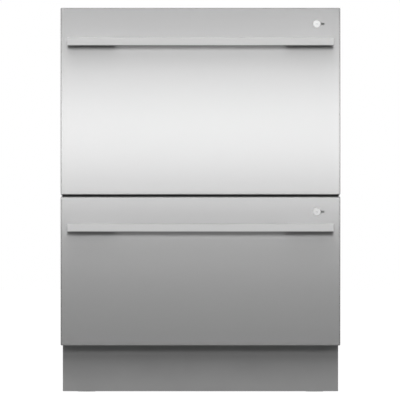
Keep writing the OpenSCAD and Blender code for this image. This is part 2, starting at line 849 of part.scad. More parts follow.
boss_r = 8;
boss_in = 81.6;       // bosses in from the tub's sides
boss_up = 60;         // lower bosses above the tub floor
boss_down = 34;       // upper bosses below the rim
rim_t = 5;
wall_rib_up = 22;     // foot of the wall ribs above the tub floor
wall_rib_down = 4;    // top of the wall ribs below the rim
wall_rib_pitch = 60;
wall_rib_end = 60;
wall_rib_gap = 0.4;   // between the wall ribs and the plane of the runners
seat_h = 24;
seat_end = 15;        // from the ends of a runner to its seat on the tub
floor_rib_end = 205;  // outer end of the radial ribs, from the spindle

// Ribs that stand out from the tub's side walls
module tub_side_ribs(d) {
    z0 = floor_z(d) + wall_rib_up;
    h = rim_z(d) - z0 - wall_rib_down;
    seat = rail_in - tub_half;
    for (s = [-1, 1]) {
        // seat of the drawer runner
        translate([s > 0 ? tub_half - eps : -rail_in, rail_y0 + seat_end, rail_z(d) - seat_h / 2])
            cube([seat + eps, rail_len - 2 * seat_end, seat_h]);
        for (y = [tub_y0 + wall_rib_end:wall_rib_pitch:tub_y1 - wall_rib_end])
            translate([s > 0 ? tub_half - eps : wall_rib_gap - rail_in, y, z0])
                cube([seat - wall_rib_gap + eps, rib_t, h]);
    }
    for (k = [-3:3])
        translate([k * wall_rib_pitch - rib_t / 2, tub_y1 - eps, z0]) cube([rib_t, rib_t, h]);
}

// Wash tub: round-cornered bowl with a flat rim, filter well and pump sump in its floor
module tub(d) {
    fz = floor_z(d);
    rim = rim_z(d);
    h = rim - fz + tub_floor;
    color(TUB_GREY) difference() {
        union() {
            translate([0, tub_y, fz - tub_floor])
                bowl_block(2 * tub_half, tub_d, h, tub_corner_r, tub_foot_r);
            translate([0, tub_y, rim - rim_t]) linear_extrude(rim_t)
                round_rect(2 * (tub_half + rim_out), tub_d + 2 * rim_out, tub_corner_r + rim_out);
            // well and sump below the floor
            translate([0, tub_y, fz - well_deep - tub_floor])
                cylinder(h = well_deep + 1, r = well_r + tub_wall);
            translate([0, tub_y, fz - sump_deep - tub_floor])
                cylinder(h = sump_deep + 1, r = sump_r + tub_wall);
            // radial ribs under the floor
            for (a = [-22.5:45:202.5])
                translate([0, tub_y, fz - sump_deep]) rotate([0, 0, a])
                    translate([sump_r, -rib_t / 2, 0])
                        cube([floor_rib_end - sump_r, rib_t, sump_deep - 1]);
            tub_side_ribs(d);
            // bosses that carry the drawer front
            for (x = [-1, 1], z = [fz + boss_up, rim - boss_down])
                rod_y(x * (tub_half - boss_in), z, liner_back_y, tub_y0 + 1, boss_r);
        }
        translate([0, tub_y, fz])
            bowl_block(2 * inner_half, tub_d - 2 * tub_wall, h, tub_corner_r - tub_wall,
                tub_foot_r - tub_wall);
        translate([0, tub_y, fz - well_deep]) cylinder(h = well_deep + 1, r = well_r);
        translate([0, tub_y, fz - sump_deep]) cylinder(h = sump_deep + 1, r = sump_r);
        translate([0, tub_y, fz - under_tub]) cylinder(h = under_tub, r = spindle_r + slide_gap);
    }
}

filter_t = 3;
filter_rim = 3;
filter_slot_w = 4;
filter_rings = [[48, 14, 14], [70, 20, 14], [126, 30, 22]];  // radius, count, slot length
neck_w = 10;          // filter plate's neck round the spindle
neck_wall = 3;
neck_h = 5;           // neck above the rim of the well
clear_angle = 30;     // no slots this near the drain filter, either side

// Filter plate: round plate in the well with rings of slots and a hole for the drain filter
module filter_plate(d) {
    r = well_r - slide_gap;
    color(MID_GREY) translate([0, tub_y, floor_z(d) - well_deep]) difference() {
        union() {
            cylinder(h = filter_t, r = r);
            difference() {
                cylinder(h = well_deep, r = r);
                translate([0, 0, -1]) cylinder(h = well_deep + 2, r = r - filter_rim);
            }
            cylinder(h = well_deep + neck_h, r = spindle_r + neck_w);
            translate([drain_x, 0, 0]) cylinder(h = well_deep, r = drain_r + neck_wall);
        }
        for (ring = filter_rings)
            for (k = [0:ring[1] - 1])
                let (a = (k + 0.5) * 360 / ring[1])
                    if (ring[0] > drain_x + drain_r || (a > clear_angle && a < 360 - clear_angle))
                        rotate([0, 0, a])
                            translate([ring[0] - ring[2] / 2, -filter_slot_w / 2, -1])
                                cube([ring[2], filter_slot_w, filter_t + 2]);
        translate([drain_x, 0, -1]) cylinder(h = well_deep + 2, r = drain_r);
        translate([0, 0, -1])
            cylinder(h = well_deep + neck_h + 2, r = spindle_r + neck_w - neck_wall);
    }
}

// Drain filter: lift-out cup with a finger bridge across its top
module drain_filter(d) {
    r = drain_r - slide_gap;
    wall = 2;
    rise = 4;
    bridge_w = 6;
    grip_r = 8;
    slot_len = 6;
    slot_w = 3;
    color(WHITE) translate([drain_x, tub_y, floor_z(d) - well_deep]) {
        difference() {
            cylinder(h = well_deep + rise, r = r);
            translate([0, 0, wall]) cylinder(h = well_deep + rise, r = r - wall);
            for (a = [0:30:330])
                rotate([0, 0, a]) translate([r - wall - slot_len - 1, -slot_w / 2, -1])
                    cube([slot_len, slot_w, wall + 2]);
        }
        translate([wall / 2 - r, -bridge_w / 2, well_deep]) cube([2 * r - wall, bridge_w, rise]);
        rod_y(0, well_deep + rise, -bridge_w / 2, bridge_w / 2, grip_r);
    }
}

// Wash motor under the sump, with its spindle up through the floor to the spray arm
module wash_motor(d) {
    top = floor_z(d) - sump_deep - tub_floor;
    edge = 4;
    fin_t = 3;
    fin_out = 4;
    plug_w = 34;
    plug_h = 16;
    collar_w = 5;
    tip = 6;
    color(MID_GREY) translate([0, tub_y, 0]) {
        translate([0, 0, top - motor_h]) rotate_extrude() {
            square([motor_r - edge, motor_h]);
            translate([0, edge]) square([motor_r, motor_h - edge]);
            translate([motor_r - edge, edge]) circle(edge);
        }
        // cooling fins and the plug housing
        for (a = [0:30:330])
            rotate([0, 0, a]) translate([motor_r - 1, -fin_t / 2, top - motor_h + edge + 2])
                cube([fin_out + 1, fin_t, motor_h - edge - 2]);
        translate([-plug_w / 2, motor_r - 2, top - edge - plug_h]) cube([plug_w, plug_h, plug_h]);
        // spindle, and the collar that the arm's hub runs on
        translate([0, 0, top - 1]) cylinder(h = hub_top(d) - top + tip, r = spindle_r);
        translate([0, 0, floor_z(d) - edge])
            cylinder(h = arm_up + edge - slide_gap, r = spindle_r + collar_w);
    }
}

function hub_top(d) = floor_z(d) + arm_up + hub_h;

box_w = 250;
box_d = 62;
box_h = 26;
box_back = 29;        // electronics box behind the front of the tub

// Electronics box under the front of the tub
module controller(d) {
    top = floor_z(d) - tub_floor;
    y0 = tub_y0 + box_back;
    vents = 9;
    vent_w = 14;
    vent_h = 9;
    pitch = (box_w - 2 * vent_w - vent_w / 2) / vents;
    ear_w = 12;
    ear_d = 24;
    ear_t = 4;
    plugs = [[-40, 26], [12, 38]];
    plug_d = 8;
    plug_h = 12;
    color(BLACK) {
        translate([-box_w / 2, y0, top - box_h]) difference() {
            cube([box_w, box_d, box_h]);
            for (k = [0:vents - 1])
                translate([vent_w + vent_w / 4 + k * pitch, -1, box_h / 5])
                    cube([vent_w, through, vent_h]);
        }
        for (x = [-1, 1])
            translate([x * (box_w / 2 + ear_w / 2 - 1) - ear_w / 2, y0 + (box_d - ear_d) / 2,
                top - ear_t])
                cube([ear_w, ear_d, ear_t]);
        for (plug = plugs)
            translate([plug[0], y0 + box_d - eps, top - box_h + ear_t])
                cube([plug[1], plug_d, plug_h]);
    }
}

// ---- spray arms --------------------------------------------------------------------

arm_root = 21;        // half width of a blade where it leaves the hub
arm_tip = 13;
arm_lens_r = 57;      // radius of a blade's upper and lower faces
arm_above = 3;        // underside of a blade above the hub's foot
feed_r = 7;           // water channel along a blade
jet_r = 2;
jet_in = 11;
jets = [60, 95, 130, 165];

// Outline of one half of the arm, from the hub to its round tip
module arm_outline() {
    half = arm_len / 2;
    polygon([[0, -arm_root], [half * 0.45, 2 - arm_root], [half - arm_tip, -arm_tip],
        [half - arm_tip, arm_tip], [half * 0.45, arm_root + 1], [0, arm_root]]);
    translate([half - arm_tip, 0]) circle(arm_tip);
}

// One lens-shaped blade of the arm, with the half-round channel along its top
module arm_blade() {
    t = arm_t - arm_above;
    intersection() {
        linear_extrude(t) arm_outline();
        translate([-1, 0, t - arm_lens_r]) rotate([0, 90, 0])
            cylinder(h = arm_len, r = arm_lens_r, $fn = 240);
        translate([-1, 0, arm_lens_r]) rotate([0, 90, 0])
            cylinder(h = arm_len, r = arm_lens_r, $fn = 240);
    }
    intersection() {
        rod_x(0, t - feed_r / 2, 0, arm_len / 2 - 2 * arm_tip, feed_r);
        translate([0, -feed_r, t / 2]) cube([arm_len / 2, 2 * feed_r, t]);
    }
}

// Spray arm: two lens-shaped blades with a channel each, a hub and rows of jets
module spray_arm(d) {
    crown_h = 4;
    bearing = hub_h - 1;
    color(MID_GREY) translate([0, tub_y, floor_z(d) + arm_up]) difference() {
        union() {
            cylinder(h = hub_h, r = hub_r);
            for (a = [0, 180])
                rotate([0, 0, a]) translate([0, 0, arm_above]) arm_blade();
            translate([0, 0, hub_h - eps])
                cylinder(h = crown_h, r1 = hub_r - crown_h, r2 = hub_r - 2 * crown_h);
        }
        translate([0, 0, -1]) cylinder(h = hub_h + 1, r = spindle_r + spin_gap);
        translate([0, 0, bearing]) cylinder(h = 2 * crown_h, r = spindle_r + 2);
        for (a = [0, 180])
            rotate([0, 0, a]) {
                for (x = jets)
                    translate([x, a == 0 ? jet_in : -jet_in, arm_t / 2])
                        cylinder(h = arm_t, r = jet_r);
                translate([arm_len / 2 - arm_tip, 0, arm_t / 2]) cylinder(h = arm_t, r = jet_r);
            }
    }
}

// ---- baskets -----------------------------------------------------------------------

// Closed loop of wire with round corners, at height z
module wire_loop(z) {
    w = 2 * basket_half;
    deep = basket_y1 - basket_y0;
    translate([0, basket_yc, z]) {
        for (s = [-1, 1]) {
            wire_x(s * deep / 2, 0, basket_r - w / 2, w / 2 - basket_r);
            wire_y(s * w / 2, 0, basket_r - deep / 2, deep / 2 - basket_r);
        }
        for (x = [-1, 1], y = [-1, 1])
            translate([x * (w / 2 - basket_r), y * (deep / 2 - basket_r), 0])
                rotate([0, 0, corner_start(x, y)]) rotate_extrude(angle = 90)
                    translate([basket_r, 0]) rotate([0, 0, wire_turn])
                        circle(wire_r, $fn = wire_sides);
    }
}

function corner_start(x, y) = x > 0 ? (y > 0 ? 0 : 270) : (y > 0 ? 90 : 180);

wire_end_room = 30;   // from the sides of a basket to its first wire
seam = 0.05;          // hairline where two panels of a basket meet
foot_in_x = 40;       // basket feet in from its sides, under its first and last cross wires
basket_foot_r = 8;
basket_foot_taper = 2;
clip_reach = 16;      // rack clip from the hinge rod towards the middle of the basket
clip_low = 7;
clip_ledge_w = 12;
clip_loop_w = 7;
clip_loop_up = 6;
rack_loop_up = 3;     // middle loop of the basket above the rack's hinge
rack_wire_low = wire_r - thin_wire * wire_flat;
tine_count = 13;
tine_pitch = 25;
tine_thin = 0.85;
left_tines = 4;       // floor wires that carry the two rows of tines
right_tines = 6;

// Wire basket: a floor panel, four walls with round corners, plate tines, feet and rack clips
module basket(d) {
    z0 = basket_z(d);
    top = basket_top(d);
    nx = floor(2 * (basket_half - wire_end_room) / wire_pitch);
    ny = floor((basket_y1 - basket_y0 - 2 * wire_end_room) / wire_pitch);
    xs = [for (k = [0:nx]) (k - nx / 2) * wire_pitch];
    ys = [for (k = [0:ny]) basket_yc + (k - ny / 2) * wire_pitch];
    fold_z = z0 + wire_r;
    tine_z = z0 - wire_step + wire_flat + seam;
    color(WIRE_GREY) {
        difference() {
            union() {
                for (z = [z0, rack_z(d) + rack_loop_up, top]) wire_loop(z);
                for (x = xs) wire_y(x, z0 - wire_step, basket_y0, basket_y1);
                for (y = ys) wire_x(y, z0 - 2 * wire_step, -basket_half, basket_half);
                // upright wires just inside the loops
                for (x = xs, y = [basket_y0 + wire_step, basket_y1 - wire_step])
                    translate([x, y, z0 - wire_step]) wire(top - z0 + wire_step);
                for (y = ys, x = [wire_step - basket_half, basket_half - wire_step])
                    translate([x, y, z0 - 2 * wire_step]) wire(top - z0 + 2 * wire_step);
                // clips that hold the cup rack's hinge rod
                for (k = [1, rack_wires - 2])
                    translate([rack_x, rack_wire_y(k), rack_z(d)]) rack_clip();
            }
            basket_seams(d, fold_z, top, xs[nx] + 2 * wire_r, [ys[0] - 2 * wire_r, ys[ny] + 2 * wire_r]);
        }
        // two rows of plate tines on the floor wires
        for (x = [xs[left_tines], xs[right_tines]], k = [0:tine_count - 1])
            translate([x, tine_y(k), tine_z]) wire(tine_h - 2 * wire_r, wire_r * tine_thin);
        // feet that stand on the tub floor
        for (x = [-1, 1], y = [ys[0], ys[ny]])
            translate([x * (basket_half - foot_in_x), y, floor_z(d)])
                cylinder(h = basket_up - 2 * wire_step - wire_flat - seam,
                    r1 = basket_foot_r - basket_foot_taper, r2 = basket_foot_r);
    }
}

// Hairlines between the floor panel and the walls, at both ends of the round corners, and
// between the rack's clips and the wall that carries them
module basket_seams(d, z, top, cut_x, cut_ys) {
    w = 3 * basket_half;
    h = top - z + 2 * wire_r;
    clip_x = basket_half - wire_step - wire_flat - 2 * seam;
    translate([-w / 2, basket_yc - w / 2, z]) cube([w, w, seam]);
    for (x = [-cut_x, cut_x], y = [basket_y0 - 2 * wire_r, basket_y1 + 2 * wire_r - basket_r])
        translate([x - seam / 2, y, z]) cube([seam, basket_r, h]);
    for (x = [-basket_half - 2 * wire_r, basket_half + 2 * wire_r - basket_r], y = cut_ys)
        translate([x, y - seam / 2, z]) cube([basket_r, seam, h]);
    for (k = [1, rack_wires - 2])
        translate([clip_x, rack_wire_y(k) - clip_ledge_w, rack_z(d) - 2 * clip_low])
            cube([seam, 2 * clip_ledge_w + clip_loop_w, 4 * clip_low]);
}

// Saddle clip for the cup rack: open above a rack wire, closed round the rod beside it
module rack_clip() {
    reach = basket_half - rack_x;
    difference() {
        union() {
            translate([-clip_reach, -clip_ledge_w / 2, -clip_low])
                cube([clip_reach + reach, clip_ledge_w, clip_low + rack_wire_low - slide_gap]);
            translate([-clip_loop_up, clip_ledge_w / 2 - 2, -clip_low])
                cube([clip_loop_up + reach, clip_loop_w, clip_low + clip_loop_up]);
        }
        rod_y(0, 0, -clip_ledge_w, clip_ledge_w + clip_loop_w, wire_r + slide_gap);
    }
}

function tine_y(k) = basket_yc + (k - (tine_count - 1) / 2) * tine_pitch;

// Cutlery basket of flat slotted panels: floor, four walls, a divider and cross pieces
cutlery_w = 84;
cutlery_d = 232;
cutlery_h = 118;
cutlery_wall = 2;
cutlery_in = 12;      // in from the left-hand side of the basket
cutlery_back = 60;    // back from its front
cutlery_x = cutlery_in - basket_half;
cutlery_y = basket_y0 + cutlery_back;
cutlery_cells = 3;
cutlery_pitch = (cutlery_d - cutlery_wall) / cutlery_cells;
slot_rows = 3;
slot_cols = 4;
slot_h = 26;
slot_w = 9;
slot_first = 12;      // foot of the lowest row of slots
slot_bar = 8;         // solid bars between the slots

module cutlery_basket(d) {
    wall = cutlery_wall;
    long = cutlery_d;
    z0 = basket_z(d) - wire_step + wire_flat;
    cell_w = (cutlery_w - 3 * wall) / 2 - 2 * seam;
    inner = long - 2 * wall - 2 * seam;
    h = cutlery_h - wall - seam;
    cell_d = cutlery_pitch - wall - 2 * seam;
    color(MID_GREY) translate([cutlery_x, cutlery_y, z0]) {
        cutlery_floor();
        translate([0, 0, wall + seam]) {
            for (x = [0, cutlery_w - wall])
                translate([x, 0, 0]) rotate([90, 0, 90]) slotted_panel(long, h, cutlery_cells);
            for (y = [wall, long])
                translate([wall + seam, y, 0]) rotate([90, 0, 0])
                    slotted_panel(cutlery_w - 2 * wall - 2 * seam, h, 1);
            translate([(cutlery_w - wall) / 2, wall + seam, 0]) rotate([90, 0, 90])
                slotted_panel(inner, h, cutlery_cells);
            for (k = [1:cutlery_cells - 1], s = [0, 1])
                translate([wall + seam + s * (cutlery_w - wall) / 2, k * cutlery_pitch, 0])
                    cube([cell_w, wall, h]);
        }
    }
}

// Upright panel with rows of drain slots in each of its cells
module slotted_panel(w, h, cells) {
    pitch = w / cells;
    span = slot_cols * slot_w + (slot_cols - 1) * slot_bar;
    difference() {
        cube([w, h, cutlery_wall]);
        for (c = [0:cells - 1], j = [0:slot_cols - 1], k = [0:slot_rows - 1])
            translate([(c + 0.5) * pitch - span / 2 + j * (slot_w + slot_bar),
                slot_first + k * (slot_h + slot_bar), -1])
                cube([slot_w, slot_h, cutlery_wall + 2]);
    }
}

// Floor panel with cross slots under every cell
module cutlery_floor() {
    slot_len = 30;
    difference() {
        cube([cutlery_w, cutlery_d, cutlery_wall]);
        for (k = [0:cutlery_cells - 1], j = [0:slot_cols - 1], s = [-1, 1])
            translate([cutlery_w / 2 + s * cutlery_w / 4 - slot_len / 2,
                k * cutlery_pitch + slot_bar + j * (slot_w + slot_bar), -1])
                cube([slot_len, slot_w, cutlery_wall + 2]);
    }
}

// Folding cup rack on the right-hand side of the basket, lying flat
module cup_rack(d) {
    x1 = rack_x - cup_rack_w;
    short = 8;
    color(WIRE_GREY) translate([0, 0, rack_z(d)]) {
        rod_y(rack_x, 0, rack_y0, rack_y1, wire_r);
        wire_y(x1, 0, rack_y0, rack_y1);
        wire_y((rack_x + x1) / 2, 0, rack_y0 + short, rack_y1 - short);
        for (k = [0:rack_wires - 1])
            wire_x(rack_wire_y(k), wire_r, x1, rack_x - rack_wire_low, wire_r * thin_wire);
    }
}

// ---- dispenser ---------------------------------------------------------------------

hinge_y = inner_y0 + disp_t + hinge_r + hinge_off;
flap_w = cup_w + 2 * flap_over;
flap_h = cup_h + 2 * flap_over;
ear_t = 4;
ear_gap = 0.5;

function hinge_z(d) = cup_z(d) - flap_over - hinge_r;

// Dispenser body on the tub's front wall, with a detergent cup and a rinse aid filler
module dispenser(d) {
    y0 = inner_y0;
    ear_x = flap_w / 2 + ear_gap;
    color(WHITE) difference() {
        union() {
            translate([disp_x, y0 + disp_t / 2, disp_z(d) + disp_h / 2])
                rotate([90, 0, 0]) linear_extrude(disp_t, center = true)
                    round_rect(disp_w, disp_h, disp_corner_r);
            // hinge ears at both ends of the flap
            for (x = [cup_x + ear_x, cup_x - ear_x - ear_t])
                translate([x, y0 + disp_t - eps, hinge_z(d) - hinge_r - 1])
                    cube([ear_t, 2 * hinge_r + 3 * hinge_off, 2 * hinge_r + 2]);
        }
        translate([cup_x, y0 + disp_t, cup_zc(d)]) rotate([90, 0, 0])
            linear_extrude(2 * cup_deep, center = true) round_rect(cup_w, cup_h, cup_corner_r);
        rod_y(cap_x, cup_zc(d), y0 + disp_t - cap_neck_len - 2 * through, y0 + disp_t + 1,
            cap_neck_r + slide_gap);
        rod_x(hinge_y, hinge_z(d), cup_x - ear_x - ear_t - 1, cup_x + ear_x + ear_t + 1,
            hinge_pin_r + slide_gap);
    }
}

// Spring flap over the detergent cup, turning on a pin along its lower edge
module dispenser_flap(d) {
    y0 = inner_y0 + disp_t + slide_gap;
    leaf_in = 8;          // hinge leaf in from the ends of the flap
    catch_w = 28;
    catch_h = 4;
    color(MID_GREY) {
        translate([cup_x, y0 + flap_t / 2, cup_zc(d)]) rotate([90, 0, 0])
            linear_extrude(flap_t, center = true)
                round_rect(flap_w, flap_h, cup_corner_r + 1);
        rod_x(hinge_y, hinge_z(d), cup_x - flap_w / 2, cup_x + flap_w / 2, hinge_r);
        rod_x(hinge_y, hinge_z(d), cup_x - flap_w / 2 - ear_t, cup_x + flap_w / 2 + ear_t,
            hinge_pin_r);
        translate([cup_x - flap_w / 2 + leaf_in, y0, hinge_z(d)])
            cube([flap_w - 2 * leaf_in, flap_t, 2 * flap_over]);
        translate([cup_x - catch_w / 2, y0 + flap_t - eps, cup_z(d) + cup_h - 2 * catch_h])
            cube([catch_w, catch_h, catch_h]);
    }
}

// Quarter-turn cap of the rinse aid filler
module rinse_cap(d) {
    y1 = inner_y0 + disp_t;
    cap_t = 5;
    wing_w = 5;
    wing_in = 3;
    wing_h = 5;
    color(CAP_BLUE) {
        rod_y(cap_x, cup_zc(d), y1 - cap_neck_len, y1 + 2, cap_neck_r);
        rod_y(cap_x, cup_zc(d), y1 + slide_gap, y1 + cap_t, cap_r);
        translate([cap_x - cap_r + wing_in, y1 + cap_t - 1, cup_zc(d) - wing_w / 2])
            cube([2 * (cap_r - wing_in), wing_h + 1, wing_w]);
    }
}

// ---- lids --------------------------------------------------------------------------

lid_front_gap = 5;
lid_y0 = liner_back_y + lid_front_gap;
lid_y1 = tub_y1 + rim_out;
lid_yc = (lid_y0 + lid_y1) / 2;
lid_w = 2 * lid_half;
lid_d = lid_y1 - lid_y0;
lid_corner_r = 40;
lid_edge = 3;
lid_skin = 3;
lid_rib_t = 2;
lid_rib_down = 2;     // ribs below the lid's raised edge
lid_rib_pitch = 60;
seal_w = 9;
pin_r = 3;
pin_y = 150;
pin_up = 6;           // height of the lid pins above the lid's underside
pin_len = 9;
lifter_gap = 0.5;     // between a lid and its lifters
lifter_end = 30;      // lifters past their pins
lifter_len = 2 * (pin_y + lifter_end);
lifter_edge = 2;      // lifter above and below its pin slots

// Sealing lid: thin plate with a raised edge, stiffening ribs and two pins a side
module lid(d) {
    rib_h = lid_t - lid_skin - lid_rib_down;
    color(WHITE) translate([0, lid_yc, lid_z(d)]) {
        difference() {
            linear_extrude(lid_t) round_rect(lid_w, lid_d, lid_corner_r);
            translate([0, 0, lid_skin]) linear_extrude(lid_t)
                round_rect(lid_w - 2 * lid_edge, lid_d - 2 * lid_edge, lid_corner_r - lid_edge);
        }
        for (k = [-4:4])
            translate([k * lid_rib_pitch - lid_rib_t / 2, lid_rib_t - lid_d / 2, lid_skin - eps])
                cube([lid_rib_t, lid_d - 2 * lid_rib_t, rib_h + eps]);
        for (k = [-3:3])
            translate([lid_rib_t - lid_w / 2, k * lid_rib_pitch - lid_rib_t / 2, lid_skin - eps])
                cube([lid_w - 2 * lid_rib_t, lid_rib_t, rib_h + eps]);
        for (s = [-1, 1], y = [-pin_y, pin_y])
            rod_x(y, pin_up, s > 0 ? lid_half - 2 : -lid_half - pin_len,
                s > 0 ? lid_half + pin_len : 2 - lid_half, pin_r);
    }
}

// Rubber seal round the underside of a lid
module lid_seal(d) {
    w = lid_w - 2 * lid_edge;
    deep = lid_d - 2 * lid_edge;
    r = lid_corner_r - lid_edge;
    color(RUBBER) translate([0, lid_yc, lid_z(d) - seal_t]) linear_extrude(seal_t)
        difference() {
            round_rect(w, deep, r);
            round_rect(w - 2 * seal_w, deep - 2 * seal_w, r - seal_w);
        }
}

// Lid actuators on the side sheets; each holds two lid pins in upright slots
module lid_lifters() {
    x0 = lid_half + lifter_gap;
    low = pin_r + lid_lift + lifter_edge;
    window_in = 20;       // from a pin's middle to the weight-saving window
    color(MID_GREY) for (d = [LOW, UPP], s = [0, 1])
        mirror([s, 0, 0]) translate([0, lid_yc, lid_z(d) + pin_up]) difference() {
            translate([x0, -lifter_len / 2, -low])
                cube([side_in - x0, lifter_len, low + pin_r + lifter_edge]);
            for (y = [-pin_y, pin_y])
                pin_slot(y);
            translate([x0 - 1, window_in - pin_y, -lid_lift - 1])
                cube([pin_len - 1, 2 * (pin_y - window_in), pin_r + lid_lift]);
        }
}

// Upright slot for one lid pin, from its raised to its lowered place
module pin_slot(y) {
    r = pin_r + slide_gap;
    x0 = lid_half - 1;
    len = pin_len + 2;
    rod_x(y, 0, x0, x0 + len, r);
    rod_x(y, -lid_lift, x0, x0 + len, r);
    translate([x0, y - r, -lid_lift]) cube([len, 2 * r, lid_lift]);
}

// ---- one module per named piece of each drawer ---------------------------------------

module upper_tub() { tub(UPP); }
module upper_front_skin() { front_skin(UPP); }
module upper_front_liner() { front_liner(UPP); }
module upper_handle_bar() { handle_bar(UPP); }
module upper_handle_posts() { handle_posts(UPP); }
module upper_start_button() { start_button(UPP); }
module upper_dispenser() { dispenser(UPP); }
module upper_dispenser_flap() { dispenser_flap(UPP); }
module upper_rinse_cap() { rinse_cap(UPP); }
module upper_basket() { basket(UPP); }
module upper_cutlery_basket() { cutlery_basket(UPP); }
module upper_cup_rack() { cup_rack(UPP); }
module upper_spray_arm() { spray_arm(UPP); }
module upper_filter_plate() { filter_plate(UPP); }
module upper_drain_filter() { drain_filter(UPP); }
module upper_wash_motor() { wash_motor(UPP); }
module upper_controller() { controller(UPP); }
module upper_lid() { lid(UPP); }
module upper_lid_seal() { lid_seal(UPP); }

module lower_tub() { tub(LOW); }
module lower_front_skin() { front_skin(LOW); }
module lower_front_liner() { front_liner(LOW); }
module lower_handle_bar() { handle_bar(LOW); }
module lower_handle_posts() { handle_posts(LOW); }
module lower_start_button() { start_button(LOW); }
module lower_dispenser() { dispenser(LOW); }
module lower_dispenser_flap() { dispenser_flap(LOW); }
module lower_rinse_cap() { rinse_cap(LOW); }
module lower_basket() { basket(LOW); }
module lower_cutlery_basket() { cutlery_basket(LOW); }
module lower_cup_rack() { cup_rack(LOW); }
module lower_spray_arm() { spray_arm(LOW); }
module lower_filter_plate() { filter_plate(LOW); }
module lower_drain_filter() { drain_filter(LOW); }
module lower_wash_motor() { wash_motor(LOW); }
module lower_controller() { controller(LOW); }
module lower_lid() { lid(LOW); }
module lower_lid_seal() { lid_seal(LOW); }

// ---- drawing -----------------------------------------------------------------------

left_side_panel();
right_side_panel();
rear_panel();
top_panel();
base_pan();
top_crossbar();
mid_divider();
toe_kick();
toe_kick_brackets();
water_inlet();
drain_outlet();
mains_gland();
fixed_rails();
lid_lifters();
foot_front_left();
foot_front_right();
foot_rear_left();
foot_rear_right();
upper_middle_rails();
lower_middle_rails();
upper_tub();
upper_drawer_rails();
upper_front_skin();
upper_front_liner();
upper_handle_bar();
upper_handle_posts();
upper_start_button();
upper_dispenser();
upper_dispenser_flap();
upper_rinse_cap();
upper_basket();
upper_cutlery_basket();
upper_cup_rack();
upper_spray_arm();
upper_filter_plate();
upper_drain_filter();
upper_wash_motor();
upper_controller();
upper_lid();
upper_lid_seal();
lower_tub();
lower_drawer_rails();
lower_front_skin();
lower_front_liner();
lower_handle_bar();
lower_handle_posts();
lower_start_button();
lower_dispenser();
lower_dispenser_flap();
lower_rinse_cap();
lower_basket();
lower_cutlery_basket();
lower_cup_rack();
lower_spray_arm();
lower_filter_plate();
lower_drain_filter();
lower_wash_motor();
lower_controller();
lower_lid();
lower_lid_seal();
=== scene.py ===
"""Double dishwasher drawer: brushed steel fronts, bar handles, tubs, baskets and runners."""

import math

import bmesh
import bpy
from mathutils import Matrix, Vector


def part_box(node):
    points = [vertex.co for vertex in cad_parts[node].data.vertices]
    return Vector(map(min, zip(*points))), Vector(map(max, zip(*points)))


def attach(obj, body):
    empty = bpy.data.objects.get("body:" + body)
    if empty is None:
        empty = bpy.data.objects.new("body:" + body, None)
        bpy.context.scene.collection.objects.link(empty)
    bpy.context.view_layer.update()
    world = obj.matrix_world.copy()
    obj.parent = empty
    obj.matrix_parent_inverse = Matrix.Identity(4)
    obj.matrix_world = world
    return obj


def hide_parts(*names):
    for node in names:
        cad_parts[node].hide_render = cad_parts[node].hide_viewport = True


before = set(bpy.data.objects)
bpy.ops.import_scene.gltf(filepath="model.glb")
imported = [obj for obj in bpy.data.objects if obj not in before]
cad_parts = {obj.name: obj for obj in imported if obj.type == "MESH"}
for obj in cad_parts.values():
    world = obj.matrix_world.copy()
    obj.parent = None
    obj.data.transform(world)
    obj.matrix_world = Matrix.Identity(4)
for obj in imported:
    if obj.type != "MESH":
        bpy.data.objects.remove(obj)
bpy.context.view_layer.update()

# ---- camera ----------------------------------------------------------------------------
# The unit is seen square from the front with a long lens, level with the middle of its
# height, so that its edges stay parallel.
front_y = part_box("upper_front_skin")[0][1]
view_height = 0.8568
view_distance = 36.0
aim_x = -0.001
aim_z = 0.4112
camera_data = bpy.data.cameras.new("camera")
camera_data.sensor_width = 36.0
camera_data.lens = camera_data.sensor_width * view_distance / view_height
camera_data.clip_end = 90.0
camera = bpy.data.objects.new("camera", camera_data)
camera.location = (aim_x, front_y - view_distance, aim_z)
camera.rotation_euler = (math.radians(90), 0, 0)
bpy.context.scene.collection.objects.link(camera)
bpy.context.scene.camera = camera
bpy.context.scene.view_settings.view_transform = "Standard"


# ---- floor, backdrop and lamps -----------------------------------------------------------
# A plain pale floor, and a surrounding that is white at the back and dim in front, where the
# steel mirrors it. A wide low band of light, far in front, draws the streak on the brushed
# fronts, and two soft lamps stand above.
def shader_nodes(tree):
    """Empties a shader tree and gives its nodes and links."""
    tree.nodes.clear()
    return tree.nodes, tree.links


def link_sum(nodes, links, sockets):
    """Adds several value sockets into one, up to 1."""
    total = sockets[0]
    for socket in sockets[1:]:
        add = nodes.new("ShaderNodeMath")
        add.operation = "ADD"
        add.use_clamp = True
        links.new(total, add.inputs[0])
        links.new(socket, add.inputs[1])
        total = add.outputs[0]
    return total


world = bpy.data.worlds.new("studio")
bpy.context.scene.world = world
world.use_nodes = True
nodes, links = shader_nodes(world.node_tree)
path = nodes.new("ShaderNodeLightPath")
# direction of the ray: +Y is the white backdrop, -Y the darker room behind the camera
white_from = 0.15
dim_from = -0.35
dim_level = 0.22
direction = nodes.new("ShaderNodeTexCoord")
split = nodes.new("ShaderNodeSeparateXYZ")
links.new(direction.outputs["Generated"], split.inputs[0])
backdrop = nodes.new("ShaderNodeMath")
backdrop.operation = "GREATER_THAN"
links.new(split.outputs["Y"], backdrop.inputs[0])
backdrop.inputs[1].default_value = white_from
mirrored = nodes.new("ShaderNodeMath")
mirrored.operation = "MULTIPLY"
links.new(path.outputs["Is Glossy Ray"], mirrored.inputs[0])
links.new(backdrop.outputs[0], mirrored.inputs[1])
seen = link_sum(nodes, links, [path.outputs["Is Camera Ray"],
                               path.outputs["Is Transmission Ray"], mirrored.outputs[0]])
room = nodes.new("ShaderNodeMapRange")
room.inputs["From Min"].default_value = dim_from
room.inputs["From Max"].default_value = white_from
room.inputs["To Min"].default_value = dim_level
room.inputs["To Max"].default_value = 1.0
